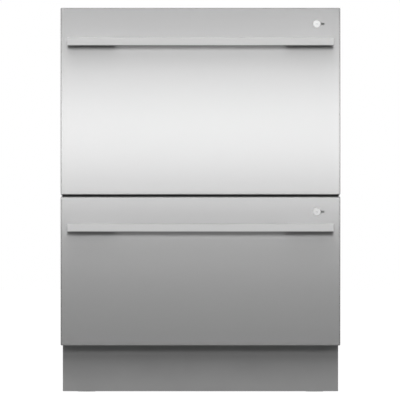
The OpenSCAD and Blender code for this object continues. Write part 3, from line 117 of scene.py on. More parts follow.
links.new(split.outputs["Y"], room.inputs["Value"])
level = nodes.new("ShaderNodeMix")
level.data_type = "FLOAT"
links.new(seen, level.inputs["Factor"])
links.new(room.outputs["Result"], level.inputs["A"])
level.inputs["B"].default_value = 1.0
background = nodes.new("ShaderNodeBackground")
background.inputs["Color"].default_value = (1, 1, 1, 1)
links.new(level.outputs["Result"], background.inputs["Strength"])
world_out = nodes.new("ShaderNodeOutputWorld")
links.new(background.outputs[0], world_out.inputs["Surface"])

floor_size = 40.0
floor_tone = 0.15
floor_glow = 0.93
floor_fade = 0.3
floor_mesh = bpy.data.meshes.new("floor")
bm = bmesh.new()
bmesh.ops.create_grid(bm, x_segments=1, y_segments=1, size=floor_size)
bm.to_mesh(floor_mesh)
bm.free()
floor = bpy.data.objects.new("floor", floor_mesh)
bpy.context.scene.collection.objects.link(floor)
floor_material = bpy.data.materials.new("pale_floor")
floor_material.use_nodes = True
nodes, links = shader_nodes(floor_material.node_tree)
diffuse = nodes.new("ShaderNodeBsdfDiffuse")
diffuse.inputs["Color"].default_value = (floor_tone, floor_tone, floor_tone, 1)
glow = nodes.new("ShaderNodeEmission")
path = nodes.new("ShaderNodeLightPath")
# mirrored beside and behind the unit it is as bright, and in front of it the glow fades out
spot = nodes.new("ShaderNodeTexCoord")
split = nodes.new("ShaderNodeSeparateXYZ")
links.new(spot.outputs["Object"], split.inputs[0])
beside = nodes.new("ShaderNodeMapRange")
beside.inputs["From Min"].default_value = front_y - floor_fade
beside.inputs["From Max"].default_value = front_y + floor_fade
links.new(split.outputs["Y"], beside.inputs["Value"])
mirrored = nodes.new("ShaderNodeMath")
mirrored.operation = "MULTIPLY"
links.new(path.outputs["Is Glossy Ray"], mirrored.inputs[0])
links.new(beside.outputs["Result"], mirrored.inputs[1])
seen = link_sum(nodes, links, [path.outputs["Is Camera Ray"],
                               path.outputs["Is Transmission Ray"], mirrored.outputs[0]])
lift = nodes.new("ShaderNodeMath")
lift.operation = "MULTIPLY"
links.new(seen, lift.inputs[0])
lift.inputs[1].default_value = floor_glow
links.new(lift.outputs[0], glow.inputs["Strength"])
both = nodes.new("ShaderNodeAddShader")
links.new(diffuse.outputs[0], both.inputs[0])
links.new(glow.outputs[0], both.inputs[1])
floor_out = nodes.new("ShaderNodeOutputMaterial")
links.new(both.outputs[0], floor_out.inputs["Surface"])
floor_mesh.materials.append(floor_material)


def area_light(name, place, target, size_x, size_y, power):
    """A soft rectangular lamp at place, facing target, which the camera doesn't see."""
    data = bpy.data.lights.new(name, "AREA")
    data.shape = "RECTANGLE"
    data.size = size_x
    data.size_y = size_y
    data.energy = power
    lamp = bpy.data.objects.new(name, data)
    lamp.location = place
    lamp.rotation_euler = (Vector(target) - Vector(place)).to_track_quat("-Z", "Y").to_euler()
    lamp.visible_camera = False
    bpy.context.scene.collection.objects.link(lamp)
    return lamp


area_light("front_band", (0, front_y - 6.0, 1.72), (0, front_y, 0.5), 9.0, 1.0, 106)
# steep light that falls behind the handle bars
area_light("overhead", (0, front_y - 0.9, 2.1), (0, front_y, 0.7), 2.0, 1.0, 15)
# light that only scatters: the metal doesn't mirror this lamp
key = area_light("key", (0, front_y - 2.2, 2.2), (0, front_y, 0.6), 1.6, 1.8, 45)
key.visible_glossy = False


# ---- cabinet sheets ----------------------------------------------------------------------
# Galvanised steel sheet with its faint spangle: sides, back, top, base pan with the sleeves
# of the feet, crossbar and the brackets of the kick. Pressed, folded and spot-welded.
def new_group(name, inputs, outputs):
    """An empty shader group with float inputs and the outputs named."""
    tree = bpy.data.node_groups.new(name, "ShaderNodeTree")
    for label, value in inputs:
        socket = tree.interface.new_socket(label, in_out="INPUT", socket_type="NodeSocketFloat")
        socket.default_value = value
    for label, kind in outputs:
        tree.interface.new_socket(label, in_out="OUTPUT", socket_type=kind)
    return tree, tree.nodes.new("NodeGroupInput"), tree.nodes.new("NodeGroupOutput")


def spangle_group():
    """Zinc crystals of a few millimetres, each of its own tone, on fine-grained sheet."""
    tree, given, out = new_group(
        "zinc_spangle",
        [("Spangle Scale", 110.0), ("Grain Scale", 900.0), ("Depth", 0.00001)],
        [("Tone", "NodeSocketFloat"), ("Normal", "NodeSocketVector")],
    )
    nodes, links = tree.nodes, tree.links
    place = nodes.new("ShaderNodeTexCoord")
    crystals = nodes.new("ShaderNodeTexVoronoi")
    crystals.inputs["Randomness"].default_value = 1.0
    links.new(place.outputs["Object"], crystals.inputs["Vector"])
    links.new(given.outputs["Spangle Scale"], crystals.inputs["Scale"])
    tone = nodes.new("ShaderNodeSeparateColor")
    links.new(crystals.outputs["Color"], tone.inputs[0])
    grain = nodes.new("ShaderNodeTexNoise")
    grain.inputs["Detail"].default_value = 3.0
    links.new(place.outputs["Object"], grain.inputs["Vector"])
    links.new(given.outputs["Grain Scale"], grain.inputs["Scale"])
    mixed = nodes.new("ShaderNodeMix")
    mixed.data_type = "FLOAT"
    mixed.inputs["Factor"].default_value = 0.35
    links.new(grain.outputs["Fac"], mixed.inputs["A"])
    links.new(tone.outputs["Red"], mixed.inputs["B"])
    bump = nodes.new("ShaderNodeBump")
    bump.inputs["Strength"].default_value = 0.4
    links.new(given.outputs["Depth"], bump.inputs["Distance"])
    links.new(mixed.outputs["Result"], bump.inputs["Height"])
    links.new(mixed.outputs["Result"], out.inputs["Tone"])
    links.new(bump.outputs["Normal"], out.inputs["Normal"])
    return tree


def surfaced(name, pattern, dark, light, rough, metallic=0.0, **values):
    """A material whose colour and roughness follow a pattern group's tone.

    dark and light are linear greys or colours, rough a pair of roughness values; other
    values set the pattern's inputs by name, with spaces written as underscores.
    """
    material = bpy.data.materials.new(name)
    material.use_nodes = True
    nodes, links = shader_nodes(material.node_tree)
    group = nodes.new("ShaderNodeGroup")
    group.node_tree = pattern
    shader = nodes.new("ShaderNodeBsdfPrincipled")
    shader.inputs["Metallic"].default_value = metallic
    for label, value in values.items():
        socket = label.replace("_", " ")
        target = group if socket in group.inputs else shader
        target.inputs[socket].default_value = value
    sharpen = nodes.new("ShaderNodeMapRange")
    sharpen.inputs["From Min"].default_value = 0.3
    sharpen.inputs["From Max"].default_value = 0.7
    links.new(group.outputs["Tone"], sharpen.inputs["Value"])
    colour = nodes.new("ShaderNodeMix")
    colour.data_type = "RGBA"
    colour.inputs["A"].default_value = (*dark, 1)
    colour.inputs["B"].default_value = (*light, 1)
    links.new(sharpen.outputs["Result"], colour.inputs["Factor"])
    links.new(colour.outputs["Result"], shader.inputs["Base Color"])
    roughness = nodes.new("ShaderNodeMapRange")
    roughness.inputs["To Min"].default_value = rough[0]
    roughness.inputs["To Max"].default_value = rough[1]
    links.new(sharpen.outputs["Result"], roughness.inputs["Value"])
    links.new(roughness.outputs["Result"], shader.inputs["Roughness"])
    links.new(group.outputs["Normal"], shader.inputs["Normal"])
    out = nodes.new("ShaderNodeOutputMaterial")
    links.new(shader.outputs[0], out.inputs["Surface"])
    return material


def dress(material, *names):
    """Gives a material to the CAD nodes named."""
    for name in names:
        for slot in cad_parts[name].material_slots:
            slot.material = material


zinc_spangle = spangle_group()
galvanised = surfaced("galvanised", zinc_spangle, (0.46, 0.475, 0.485), (0.56, 0.575, 0.585),
                      (0.34, 0.46), 0.9)
dress(galvanised, "left_side_panel", "right_side_panel", "rear_panel", "top_panel",
      "base_pan", "top_crossbar", "toe_kick_brackets")


# ---- divider bar -------------------------------------------------------------------------
# Folded steel bar painted black, screwed between the side sheets. It closes the slot that
# is seen between the two fronts.
def mottle_group():
    """Soft cloudy tone with a fine pebbled surface."""
    tree, given, out = new_group(
        "moulded_mottle",
        [("Cloud Scale", 14.0), ("Grain Scale", 900.0), ("Depth", 0.00003)],
        [("Tone", "NodeSocketFloat"), ("Normal", "NodeSocketVector")],
    )
    nodes, links = tree.nodes, tree.links
    place = nodes.new("ShaderNodeTexCoord")
    cloud = nodes.new("ShaderNodeTexNoise")
    cloud.inputs["Detail"].default_value = 5.0
    links.new(place.outputs["Object"], cloud.inputs["Vector"])
    links.new(given.outputs["Cloud Scale"], cloud.inputs["Scale"])
    grain = nodes.new("ShaderNodeTexNoise")
    grain.inputs["Detail"].default_value = 2.0
    links.new(place.outputs["Object"], grain.inputs["Vector"])
    links.new(given.outputs["Grain Scale"], grain.inputs["Scale"])
    bump = nodes.new("ShaderNodeBump")
    bump.inputs["Strength"].default_value = 0.5
    links.new(given.outputs["Depth"], bump.inputs["Distance"])
    links.new(grain.outputs["Fac"], bump.inputs["Height"])
    links.new(cloud.outputs["Fac"], out.inputs["Tone"])
    links.new(bump.outputs["Normal"], out.inputs["Normal"])
    return tree


def grey(value):
    """A neutral colour."""
    return (value, value, value)


moulded_mottle = mottle_group()
black_paint = surfaced("black_paint", moulded_mottle, grey(0.045), grey(0.06), (0.4, 0.5))
dress(black_paint, "mid_divider")


# ---- levelling feet ----------------------------------------------------------------------
# Black moulded feet: a round pad with a hexagon to turn it by and a coarse threaded stem
# that screws into a sleeve of the base pan.
def ring_matrix(place, along):
    """Places a shape drawn in XY at a point, facing a direction."""
    return Matrix.Translation(place) @ Vector(along).to_track_quat("Z", "Y").to_matrix().to_4x4()


def revolve(bm, profile, place, steps=48):
    """Spins a profile of (radius, height) points round an upright axis at a place."""
    centre = Vector(place)
    verts = [bm.verts.new(centre + Vector((radius, 0, height))) for radius, height in profile]
    edges = [bm.edges.new(pair) for pair in zip(verts, verts[1:])]
    bmesh.ops.spin(bm, geom=verts + edges, cent=centre, axis=(0, 0, 1), angle=math.tau,
                   steps=steps, use_merge=True)
    bmesh.ops.remove_doubles(bm, verts=bm.verts, dist=0.000001)


def rod(bm, start, end, radius, sides=24, bevel=0.0):
    """A straight round bar between two points, its rims bevelled if asked."""
    a, b = Vector(start), Vector(end)
    made = bmesh.ops.create_cone(bm, cap_ends=True, segments=sides, radius1=radius,
                                 radius2=radius, depth=(b - a).length,
                                 matrix=ring_matrix((a + b) / 2, b - a))
    if bevel:
        rims = [edge for edge in {e for v in made["verts"] for e in v.link_edges}
                if any(len(face.verts) > 4 for face in edge.link_faces)]
        bmesh.ops.bevel(bm, geom=rims, offset=bevel, segments=3, profile=0.5,
                        affect="EDGES", material=-1)


def thread(bm, place, axis, root, crest, pitch, length, steps=16):
    """A raised helical thread along an axis: a three-sided ridge with its ends filled."""
    start, along = Vector(place), Vector(axis)
    out = along.orthogonal().normalized()
    # the ridge is a little narrower than the pitch, which leaves a flat between its turns
    half = along * (pitch * 0.42)
    corners = (start + out * root - half, start + out * crest, start + out * root + half)
    verts = [bm.verts.new(corner) for corner in corners]
    ring = [bm.edges.new(pair) for pair in zip(verts, verts[1:] + verts[:1])]
    turns = length / pitch
    bmesh.ops.edgeloop_fill(bm, edges=ring)
    end = bmesh.ops.spin(bm, geom=ring, cent=start, axis=along, dvec=along * (pitch / steps),
                         angle=math.tau * turns, steps=round(steps * turns),
                         use_merge=False)["geom_last"]
    bmesh.ops.edgeloop_fill(bm, edges=[item for item in end
                                       if isinstance(item, bmesh.types.BMEdge)])


def finish_piece(bm, name, material, body, sharp=50.0, flats=False):
    """Closes a bmesh into a piece that rides on a body, smooth but for its sharp edges.

    With flats, faces square to an axis stay flat, so that only the rounded edges shade.
    """
    bmesh.ops.recalc_face_normals(bm, faces=bm.faces)
    for face in bm.faces:
        face.smooth = not flats or max(abs(part) for part in face.normal) < 0.9999
    for edge in bm.edges:
        if len(edge.link_faces) == 2 and edge.calc_face_angle() > math.radians(sharp):
            edge.smooth = False
    mesh = bpy.data.meshes.new(name)
    bm.to_mesh(mesh)
    bm.free()
    mesh.materials.append(material)
    piece = bpy.data.objects.new(name, mesh)
    bpy.context.scene.collection.objects.link(piece)
    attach(piece, body)
    return piece


black_plastic = surfaced("black_plastic", moulded_mottle, grey(0.018), grey(0.03), (0.4, 0.5))
pad_h = 0.009
recess_h = 0.0008
collar_h = 0.003
hexagon_h = 0.012
stem_r = 0.005
hexagon_r = stem_r + 0.004
hexagon_round = 0.0006
stem_round = 0.0006
thread_deep = 0.0008
thread_pitch = 0.002
thread_start = 0.001
thread_short = 0.003
sink = 0.0005
# the pad's edge, as (distance in from the rim, height above the floor)
pad_edge = ((0.0015, 0), (0.0004, 0.0004), (0, 0.0015), (0, 0.0055), (0.0006, 0.0072),
            (0.002, pad_h - 0.0008))
for foot_name in ("foot_front_left", "foot_front_right", "foot_rear_left", "foot_rear_right"):
    low, high = (Vector(c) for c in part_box(foot_name))
    centre = Vector(((low.x + high.x) / 2, (low.y + high.y) / 2, 0))
    pad_r = (high.x - low.x) / 2
    collar_top = pad_h + collar_h
    hexagon_top = collar_top + hexagon_h
    bm = bmesh.new()
    revolve(bm, [(0, recess_h), (pad_r * 0.55, recess_h), (pad_r * 0.6, 0)]
            + [(pad_r - inset, height) for inset, height in pad_edge]
            + [(hexagon_r + 0.0015, pad_h + collar_h * 0.7), (hexagon_r - 0.0005, collar_top),
               (0, collar_top)], centre)
    rod(bm, centre + Vector((0, 0, collar_top - sink)), centre + Vector((0, 0, hexagon_top)),
        hexagon_r, sides=6)
    hexagon_edges = [edge for edge in bm.edges if len(edge.link_faces) == 2
                     and all(vert.co.z > collar_top + 0.0001 for vert in edge.verts)]
    bmesh.ops.bevel(bm, geom=hexagon_edges, offset=hexagon_round, segments=2, profile=0.5,
                    affect="EDGES", material=-1)
    stem_root = stem_r - thread_deep
    rod(bm, centre + Vector((0, 0, hexagon_top - sink)), centre + Vector((0, 0, high.z)),
        stem_root, bevel=stem_round)
    thread(bm, centre + Vector((0, 0, hexagon_top + thread_start)), (0, 0, 1),
           stem_root - 0.0001, stem_r, thread_pitch, high.z - hexagon_top - thread_short)
    foot = finish_piece(bm, f"{foot_name}_threaded", black_plastic, foot_name,
                        sharp=40.0)
    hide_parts(foot_name)
    dress(black_plastic, foot_name)

# ---- water inlet, drain outlet and mains gland -------------------------------------------
# Moulded fittings clipped into the back: a spigot threaded for the fill hose's nut, a drain
# tail with three barbs that grip its hose, and the black gland that the mains lead leaves by.
white_plastic = surfaced("white_plastic", moulded_mottle, (0.74, 0.75, 0.75), (0.8, 0.81, 0.81),
                         (0.25, 0.33))
dress(white_plastic, "water_inlet")
spigot_r = 0.0132
spigot_thread_h = 0.0007
spigot_pitch = 0.0018
spigot_thread_len = 0.0150
spigot_thread_in = 0.0165
low, high = (Vector(c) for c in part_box("water_inlet"))
bm = bmesh.new()
thread(bm, ((low.x + high.x) / 2, high.y - spigot_thread_in, (low.z + high.z) / 2), (0, 1, 0),
       spigot_r - 0.0002, spigot_r + spigot_thread_h, spigot_pitch, spigot_thread_len, steps=32)
finish_piece(bm, "inlet_thread", white_plastic, "root", sharp=40.0)

grey_plastic = surfaced("grey_plastic", moulded_mottle, (0.19, 0.20, 0.22), (0.24, 0.25, 0.27),
                        (0.4, 0.5))
dress(grey_plastic, "drain_outlet")
barbs = 3
barb_root = 0.0098
barb_crest = 0.0112
barb_len = 0.004
barb_pitch = 0.006
low, high = (Vector(c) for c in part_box("drain_outlet"))
centre = Vector(((low.x + high.x) / 2, high.y, (low.z + high.z) / 2))
bm = bmesh.new()
for k in range(barbs):
    made = bmesh.ops.create_cone(
        bm, cap_ends=False, segments=32, radius1=barb_root, radius2=barb_crest, depth=barb_len,
        matrix=ring_matrix(centre - Vector((0, barb_len + barb_pitch * k, 0)), (0, -1, 0)))
    rims = [edge for edge in {e for v in made["verts"] for e in v.link_edges}
            if len(edge.link_faces) == 1]
    crest = [edge for edge in rims
             if (edge.verts[0].co - centre).xz.length > (barb_root + barb_crest) / 2]
    # the steep back of the barb closes from its crest down to the tail
    ring = [item for item in bmesh.ops.extrude_edge_only(bm, edges=crest)["geom"]
            if isinstance(item, bmesh.types.BMVert)]
    bmesh.ops.scale(bm, vec=[barb_root / barb_crest] * 3, verts=ring,
                    space=Matrix.Translation(-sum((v.co for v in ring), Vector()) / len(ring)))
finish_piece(bm, "drain_barbs", grey_plastic, "root", sharp=40.0)
dress(black_plastic, "mains_gland")


# ---- runners -----------------------------------------------------------------------------
# Rolled zinc-plated channels in three members, nested. Round rivet heads hold the fixed
# members to the side sheets.
def brushing_group():
    """Straight hairlines along X. Tone runs 0 to 1; Normal carries the scratches."""
    tree, given, out = new_group(
        "brushed_lines",
        [("Along", 6.0), ("Across", 900.0), ("Depth", 0.00002), ("Cloud", 3.0)],
        [("Tone", "NodeSocketFloat"), ("Normal", "NodeSocketVector")],
    )
    nodes, links = tree.nodes, tree.links
    place = nodes.new("ShaderNodeTexCoord")
    stretch = nodes.new("ShaderNodeCombineXYZ")
    links.new(given.outputs["Along"], stretch.inputs["X"])
    links.new(given.outputs["Across"], stretch.inputs["Y"])
    links.new(given.outputs["Across"], stretch.inputs["Z"])
    scaled = nodes.new("ShaderNodeVectorMath")
    scaled.operation = "MULTIPLY"
    links.new(place.outputs["Object"], scaled.inputs[0])
    links.new(stretch.outputs[0], scaled.inputs[1])
    lines = nodes.new("ShaderNodeTexNoise")
    lines.inputs["Scale"].default_value = 1.0
    lines.inputs["Detail"].default_value = 4.0
    lines.inputs["Roughness"].default_value = 0.6
    links.new(scaled.outputs[0], lines.inputs["Vector"])
    cloud = nodes.new("ShaderNodeTexNoise")
    cloud.inputs["Detail"].default_value = 2.0
    links.new(place.outputs["Object"], cloud.inputs["Vector"])
    links.new(given.outputs["Cloud"], cloud.inputs["Scale"])
    mixed = nodes.new("ShaderNodeMix")
    mixed.data_type = "FLOAT"
    mixed.inputs["Factor"].default_value = 0.3
    links.new(lines.outputs["Fac"], mixed.inputs["A"])
    links.new(cloud.outputs["Fac"], mixed.inputs["B"])
    bump = nodes.new("ShaderNodeBump")
    bump.inputs["Strength"].default_value = 0.6
    links.new(given.outputs["Depth"], bump.inputs["Distance"])
    links.new(lines.outputs["Fac"], bump.inputs["Height"])
    links.new(mixed.outputs["Result"], out.inputs["Tone"])
    links.new(bump.outputs["Normal"], out.inputs["Normal"])
    return tree


def both_drawers(*names):
    """The upper and the lower drawer's nodes of these names."""
    return [f"{drawer}_{name}" for drawer in ("upper", "lower") for name in names]


def centred_steps(count, pitch, middle=0.0):
    """count places a pitch apart, centred on a middle."""
    return [middle + (k - (count - 1) / 2) * pitch for k in range(count)]


brushed_lines = brushing_group()
zinc = surfaced("zinc", brushed_lines, grey(0.5), grey(0.6), (0.25, 0.35), 1.0)
dress(zinc, "fixed_rails", *both_drawers("middle_rails", "drawer_rails"))
rivet_r = 0.0038
rivet_h = 0.0013
rivets_per_runner = 4
rivet_pitch = 0.14
side_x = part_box("right_side_panel")[1][0]
rails_low, rails_high = (Vector(c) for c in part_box("fixed_rails"))
bm = bmesh.new()
for drawer in ("upper", "lower"):
    low, high = (Vector(c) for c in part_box(f"{drawer}_middle_rails"))
    for y in centred_steps(rivets_per_runner, rivet_pitch, (rails_low.y + rails_high.y) / 2):
        for side in (-1, 1):
            made = bmesh.ops.create_uvsphere(bm, u_segments=20, v_segments=10, radius=rivet_r)
            bmesh.ops.scale(bm, vec=(rivet_h / rivet_r, 1, 1), verts=made["verts"])
            bmesh.ops.translate(bm, vec=(side * side_x, y, (low.z + high.z) / 2),
                                verts=made["verts"])
finish_piece(bm, "runner_rivets", zinc, "root")


# ---- runner balls ------------------------------------------------------------------------
# Hard steel balls in pressed strip cages run in the races between a runner's members. They
# keep to the middle member: its rear half for the fixed one, its front half for the drawer's.
def rounded_block(bm, size, place, bevel, segments=3):
    """A block with rounded edges, centred on a place."""
    made = bmesh.ops.create_cube(bm, size=1.0)
    bmesh.ops.scale(bm, vec=size, verts=made["verts"])
    bmesh.ops.translate(bm, vec=place, verts=made["verts"])
    edges = list({edge for vert in made["verts"] for edge in vert.link_edges})
    bmesh.ops.bevel(bm, geom=edges, offset=bevel, segments=segments, profile=0.5,
                    affect="EDGES", material=-1, clamp_overlap=True)


ball_steel = surfaced("ball_steel", brushed_lines, grey(0.58), grey(0.62), (0.12, 0.18), 1.0)
ball_r = 0.00145
race_h = 0.003
race_sheet = 0.0012
cage_t = 0.0009
cage_round = 0.0002
cage_w = 0.0046
balls_per_cage = 9
ball_pitch = 0.022
cage_end_in = 0.012
race_x = {"fixed": 0.2905, "drawer": 0.2890}
for drawer in ("upper", "lower"):
    low, high = (Vector(c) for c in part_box(f"{drawer}_middle_rails"))
    half_h = (high.z - low.z) / 2
    race_up = {"fixed": half_h + race_h / 2, "drawer": half_h - race_sheet - race_h / 2}
    cage_len = ball_pitch * balls_per_cage
    race_y = {"fixed": high.y - cage_end_in - cage_len / 2,
              "drawer": low.y + cage_end_in + cage_len / 2}
    bm = bmesh.new()
    for race in ("fixed", "drawer"):
        for side in (-1, 1):
            for up in (-1, 1):
                x = side * race_x[race]
                z = (low.z + high.z) / 2 + up * race_up[race]
                middle = (x, race_y[race], z)
                rounded_block(bm, (cage_w, cage_len, cage_t), middle, cage_round, 1)
                for y in centred_steps(balls_per_cage, ball_pitch, race_y[race]):
                    bmesh.ops.create_uvsphere(bm, u_segments=12, v_segments=8, radius=ball_r,
                                              matrix=Matrix.Translation((x, y, z)))
    finish_piece(bm, f"{drawer}_ball_cages", ball_steel, f"{drawer}_middle_rails")

# ---- screws of the top sheet -------------------------------------------------------------
# Zinc-plated flat screws with washers and cross slots hold the top sheet to the side sheets'
# flanges, five a side.
screws_per_side = 5
screw_pitch = 0.125
screw_in = 0.0075
washer_r = 0.0058
washer_t = 0.0005
washer_round = 0.0002
screw_r = 0.0039
screw_h = 0.0014
screw_round = 0.0007
slot_len = 0.0040
slot_w = 0.0009
slot_t = 0.0001
slot_round = 0.00003
top_low, top_high = (Vector(c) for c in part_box("top_panel"))
bm = bmesh.new()
cuts = bmesh.new()
for side in (-1, 1):
    for y in centred_steps(screws_per_side, screw_pitch, (top_low.y + top_high.y) / 2):
        seat = Vector((side * (side_x - screw_in), y, top_high.z))
        crown = seat + Vector((0, 0, screw_h))
        rod(bm, seat, seat + Vector((0, 0, washer_t)), washer_r, bevel=washer_round)
        rod(bm, seat, crown, screw_r, bevel=screw_round)
        rounded_block(cuts, (slot_len, slot_w, slot_t), crown, slot_round, 1)
        rounded_block(cuts, (slot_w, slot_len, slot_t), crown, slot_round, 1)
finish_piece(bm, "top_screws", zinc, "root", sharp=35.0)
finish_piece(cuts, "top_screw_slots", black_plastic, "root", flats=True)

# ---- lids, their seals and lifters -------------------------------------------------------
# A white moulded lid over each tub carries a black rubber seal, and grey lifters on the
# cabinet's walls lower it.
dress(white_plastic, *both_drawers("lid"))
rubber = surfaced("rubber", moulded_mottle, grey(0.02), grey(0.03), (0.6, 0.7))
dress(rubber, *both_drawers("lid_seal"))
dress(grey_plastic, "lid_lifters")

# ---- tubs and what washes in them --------------------------------------------------------
# Each tub is one pale polypropylene moulding with its sump. Grey filter plate and spray arm,
# white drain filter, cast motor housing below, and a black controller box ahead of it.
pale_plastic = surfaced("pale_plastic", moulded_mottle, (0.60, 0.62, 0.63), (0.66, 0.68, 0.69),
                        (0.3, 0.38))
dress(pale_plastic, *both_drawers("tub"))
dress(grey_plastic, *both_drawers("filter_plate", "spray_arm"))
dress(white_plastic, *both_drawers("drain_filter"))
cast_metal = surfaced("cast_metal", moulded_mottle, grey(0.28), grey(0.36), (0.45, 0.6), 0.9)
dress(cast_metal, *both_drawers("wash_motor"))
dress(black_plastic, *both_drawers("controller"))

# ---- dispensers --------------------------------------------------------------------------
# White moulded body snapped into the tub's front wall, with a sprung grey flap over the
# detergent and a blue cap that turns to fill the rinse aid.
dress(white_plastic, *both_drawers("dispenser"))
dress(grey_plastic, *both_drawers("dispenser_flap"))
blue_plastic = surfaced("blue_plastic", moulded_mottle, (0.06, 0.2, 0.36), (0.08, 0.24, 0.42),
                        (0.25, 0.33))
dress(blue_plastic, *both_drawers("rinse_cap"))

# ---- baskets and cup racks ---------------------------------------------------------------
# Steel wire welded and dipped in grey nylon. A basket has U-shaped wires both ways, three
# loops, two rows of plate tines, four feet, and two clips that a folding cup rack turns in.
nylon = surfaced("nylon", moulded_mottle, (0.26, 0.28, 0.30), (0.31, 0.33, 0.35), (0.35, 0.42))
dress(nylon, *both_drawers("basket", "cup_rack"))
wire_r = 0.0022
wire_sides = 10
bend_r = 0.012
bend_steps = 5
loop_bend_r = 0.034


def push_ring(bm, ring, shift):
    """Extrudes a ring of edges by a shift and returns the new ring."""
    made = bmesh.ops.extrude_edge_only(bm, edges=ring)["geom"]
    verts = [item for item in made if isinstance(item, bmesh.types.BMVert)]
    bmesh.ops.translate(bm, verts=verts, vec=shift)
    far = set(verts)
    return [item for item in made if isinstance(item, bmesh.types.BMEdge)
            and item.verts[0] in far and item.verts[1] in far]


def turn_ring(bm, ring, centre, axis, angle):
    """Spins a ring of edges round a bend and returns the new ring."""
    made = bmesh.ops.spin(bm, geom=ring, cent=centre, axis=axis, angle=angle,
                          steps=bend_steps, use_merge=False)["geom_last"]
    return [item for item in made if isinstance(item, bmesh.types.BMEdge)]


def bent_wire(bm, corners, radius=wire_r, bend=bend_r):
    """One round wire through corner points, with each inner corner bent to a radius."""
    points = [Vector(c) for c in corners]
    here = points[0]
    made = bmesh.ops.create_circle(bm, segments=wire_sides, radius=radius,
                                   matrix=ring_matrix(here, points[1] - points[0]))
    ring = list({edge for vert in made["verts"] for edge in vert.link_edges})
    bmesh.ops.edgeloop_fill(bm, edges=ring)
    for before, corner, after in zip(points, points[1:], points[2:]):
        d_in = (corner - before).normalized()
        d_out = (after - corner).normalized()
        angle = d_in.angle(d_out)
        back = bend * math.tan(angle / 2)
        start = corner - d_in * back
        ring = push_ring(bm, ring, start - here)
        inward = (d_out - d_in * d_in.dot(d_out)).normalized()
        ring = turn_ring(bm, ring, start + inward * bend, d_in.cross(d_out), angle)
        here = corner + d_out * back
    ring = push_ring(bm, ring, points[-1] - here)
    bmesh.ops.edgeloop_fill(bm, edges=ring)


def wire_ring(bm, low, high, z):
    """A closed rectangular loop of wire with round corners, made from its four quarters."""
    mid_x = (low[0] + high[0]) / 2
    mid_y = (low[1] + high[1]) / 2
    for x0, x1 in ((low[0], high[0]), (high[0], low[0])):
        y0, y1 = (low[1], high[1]) if x0 < x1 else (high[1], low[1])
        bent_wire(bm, [(mid_x, y0, z), (x1, y0, z), (x1, mid_y, z)], wire_r, loop_bend_r)
        bent_wire(bm, [(x1, mid_y, z), (x1, y1, z), (mid_x, y1, z)], wire_r, loop_bend_r)


wire_pitch = 0.042
wire_margin = 0.060
# height of the basket's floor above its feet, and of the middle loop above the rack's hinge
floor_up = 0.050
loop_up = 0.003
tine_columns = (4, 6)
tines = 13
tine_pitch = 0.025
tine_h = 0.0605
tine_r = wire_r * 0.85
tine_bead_r = wire_r * 1.1
foot_in = 0.040
foot_r = 0.007
foot_round = 0.002
rack_hinge_in = 0.009
rack_wires = 7
rack_wire_r = wire_r * 0.8
rack_wire_in = 0.012
rack_rod_in = 0.008
hinge_gap = 0.0007
clip_wires = (1, 5)
clip_round = 0.001
# a clip's shelf, back, catch and catch post: size, and place from the hinge's axis
clip_blocks = (
    ((0.024, 0.012, 0.0042), (-0.004, 0, -0.0048)),
    ((0.0042, 0.012, 0.0074), (0.0052, 0, -0.0034)),
    ((0.013, 0.007, 0.0032), (0.0018, 0.0075, 0.0045)),
    ((0.0042, 0.007, 0.013), (0.0052, 0.0075, -0.0005)),
)
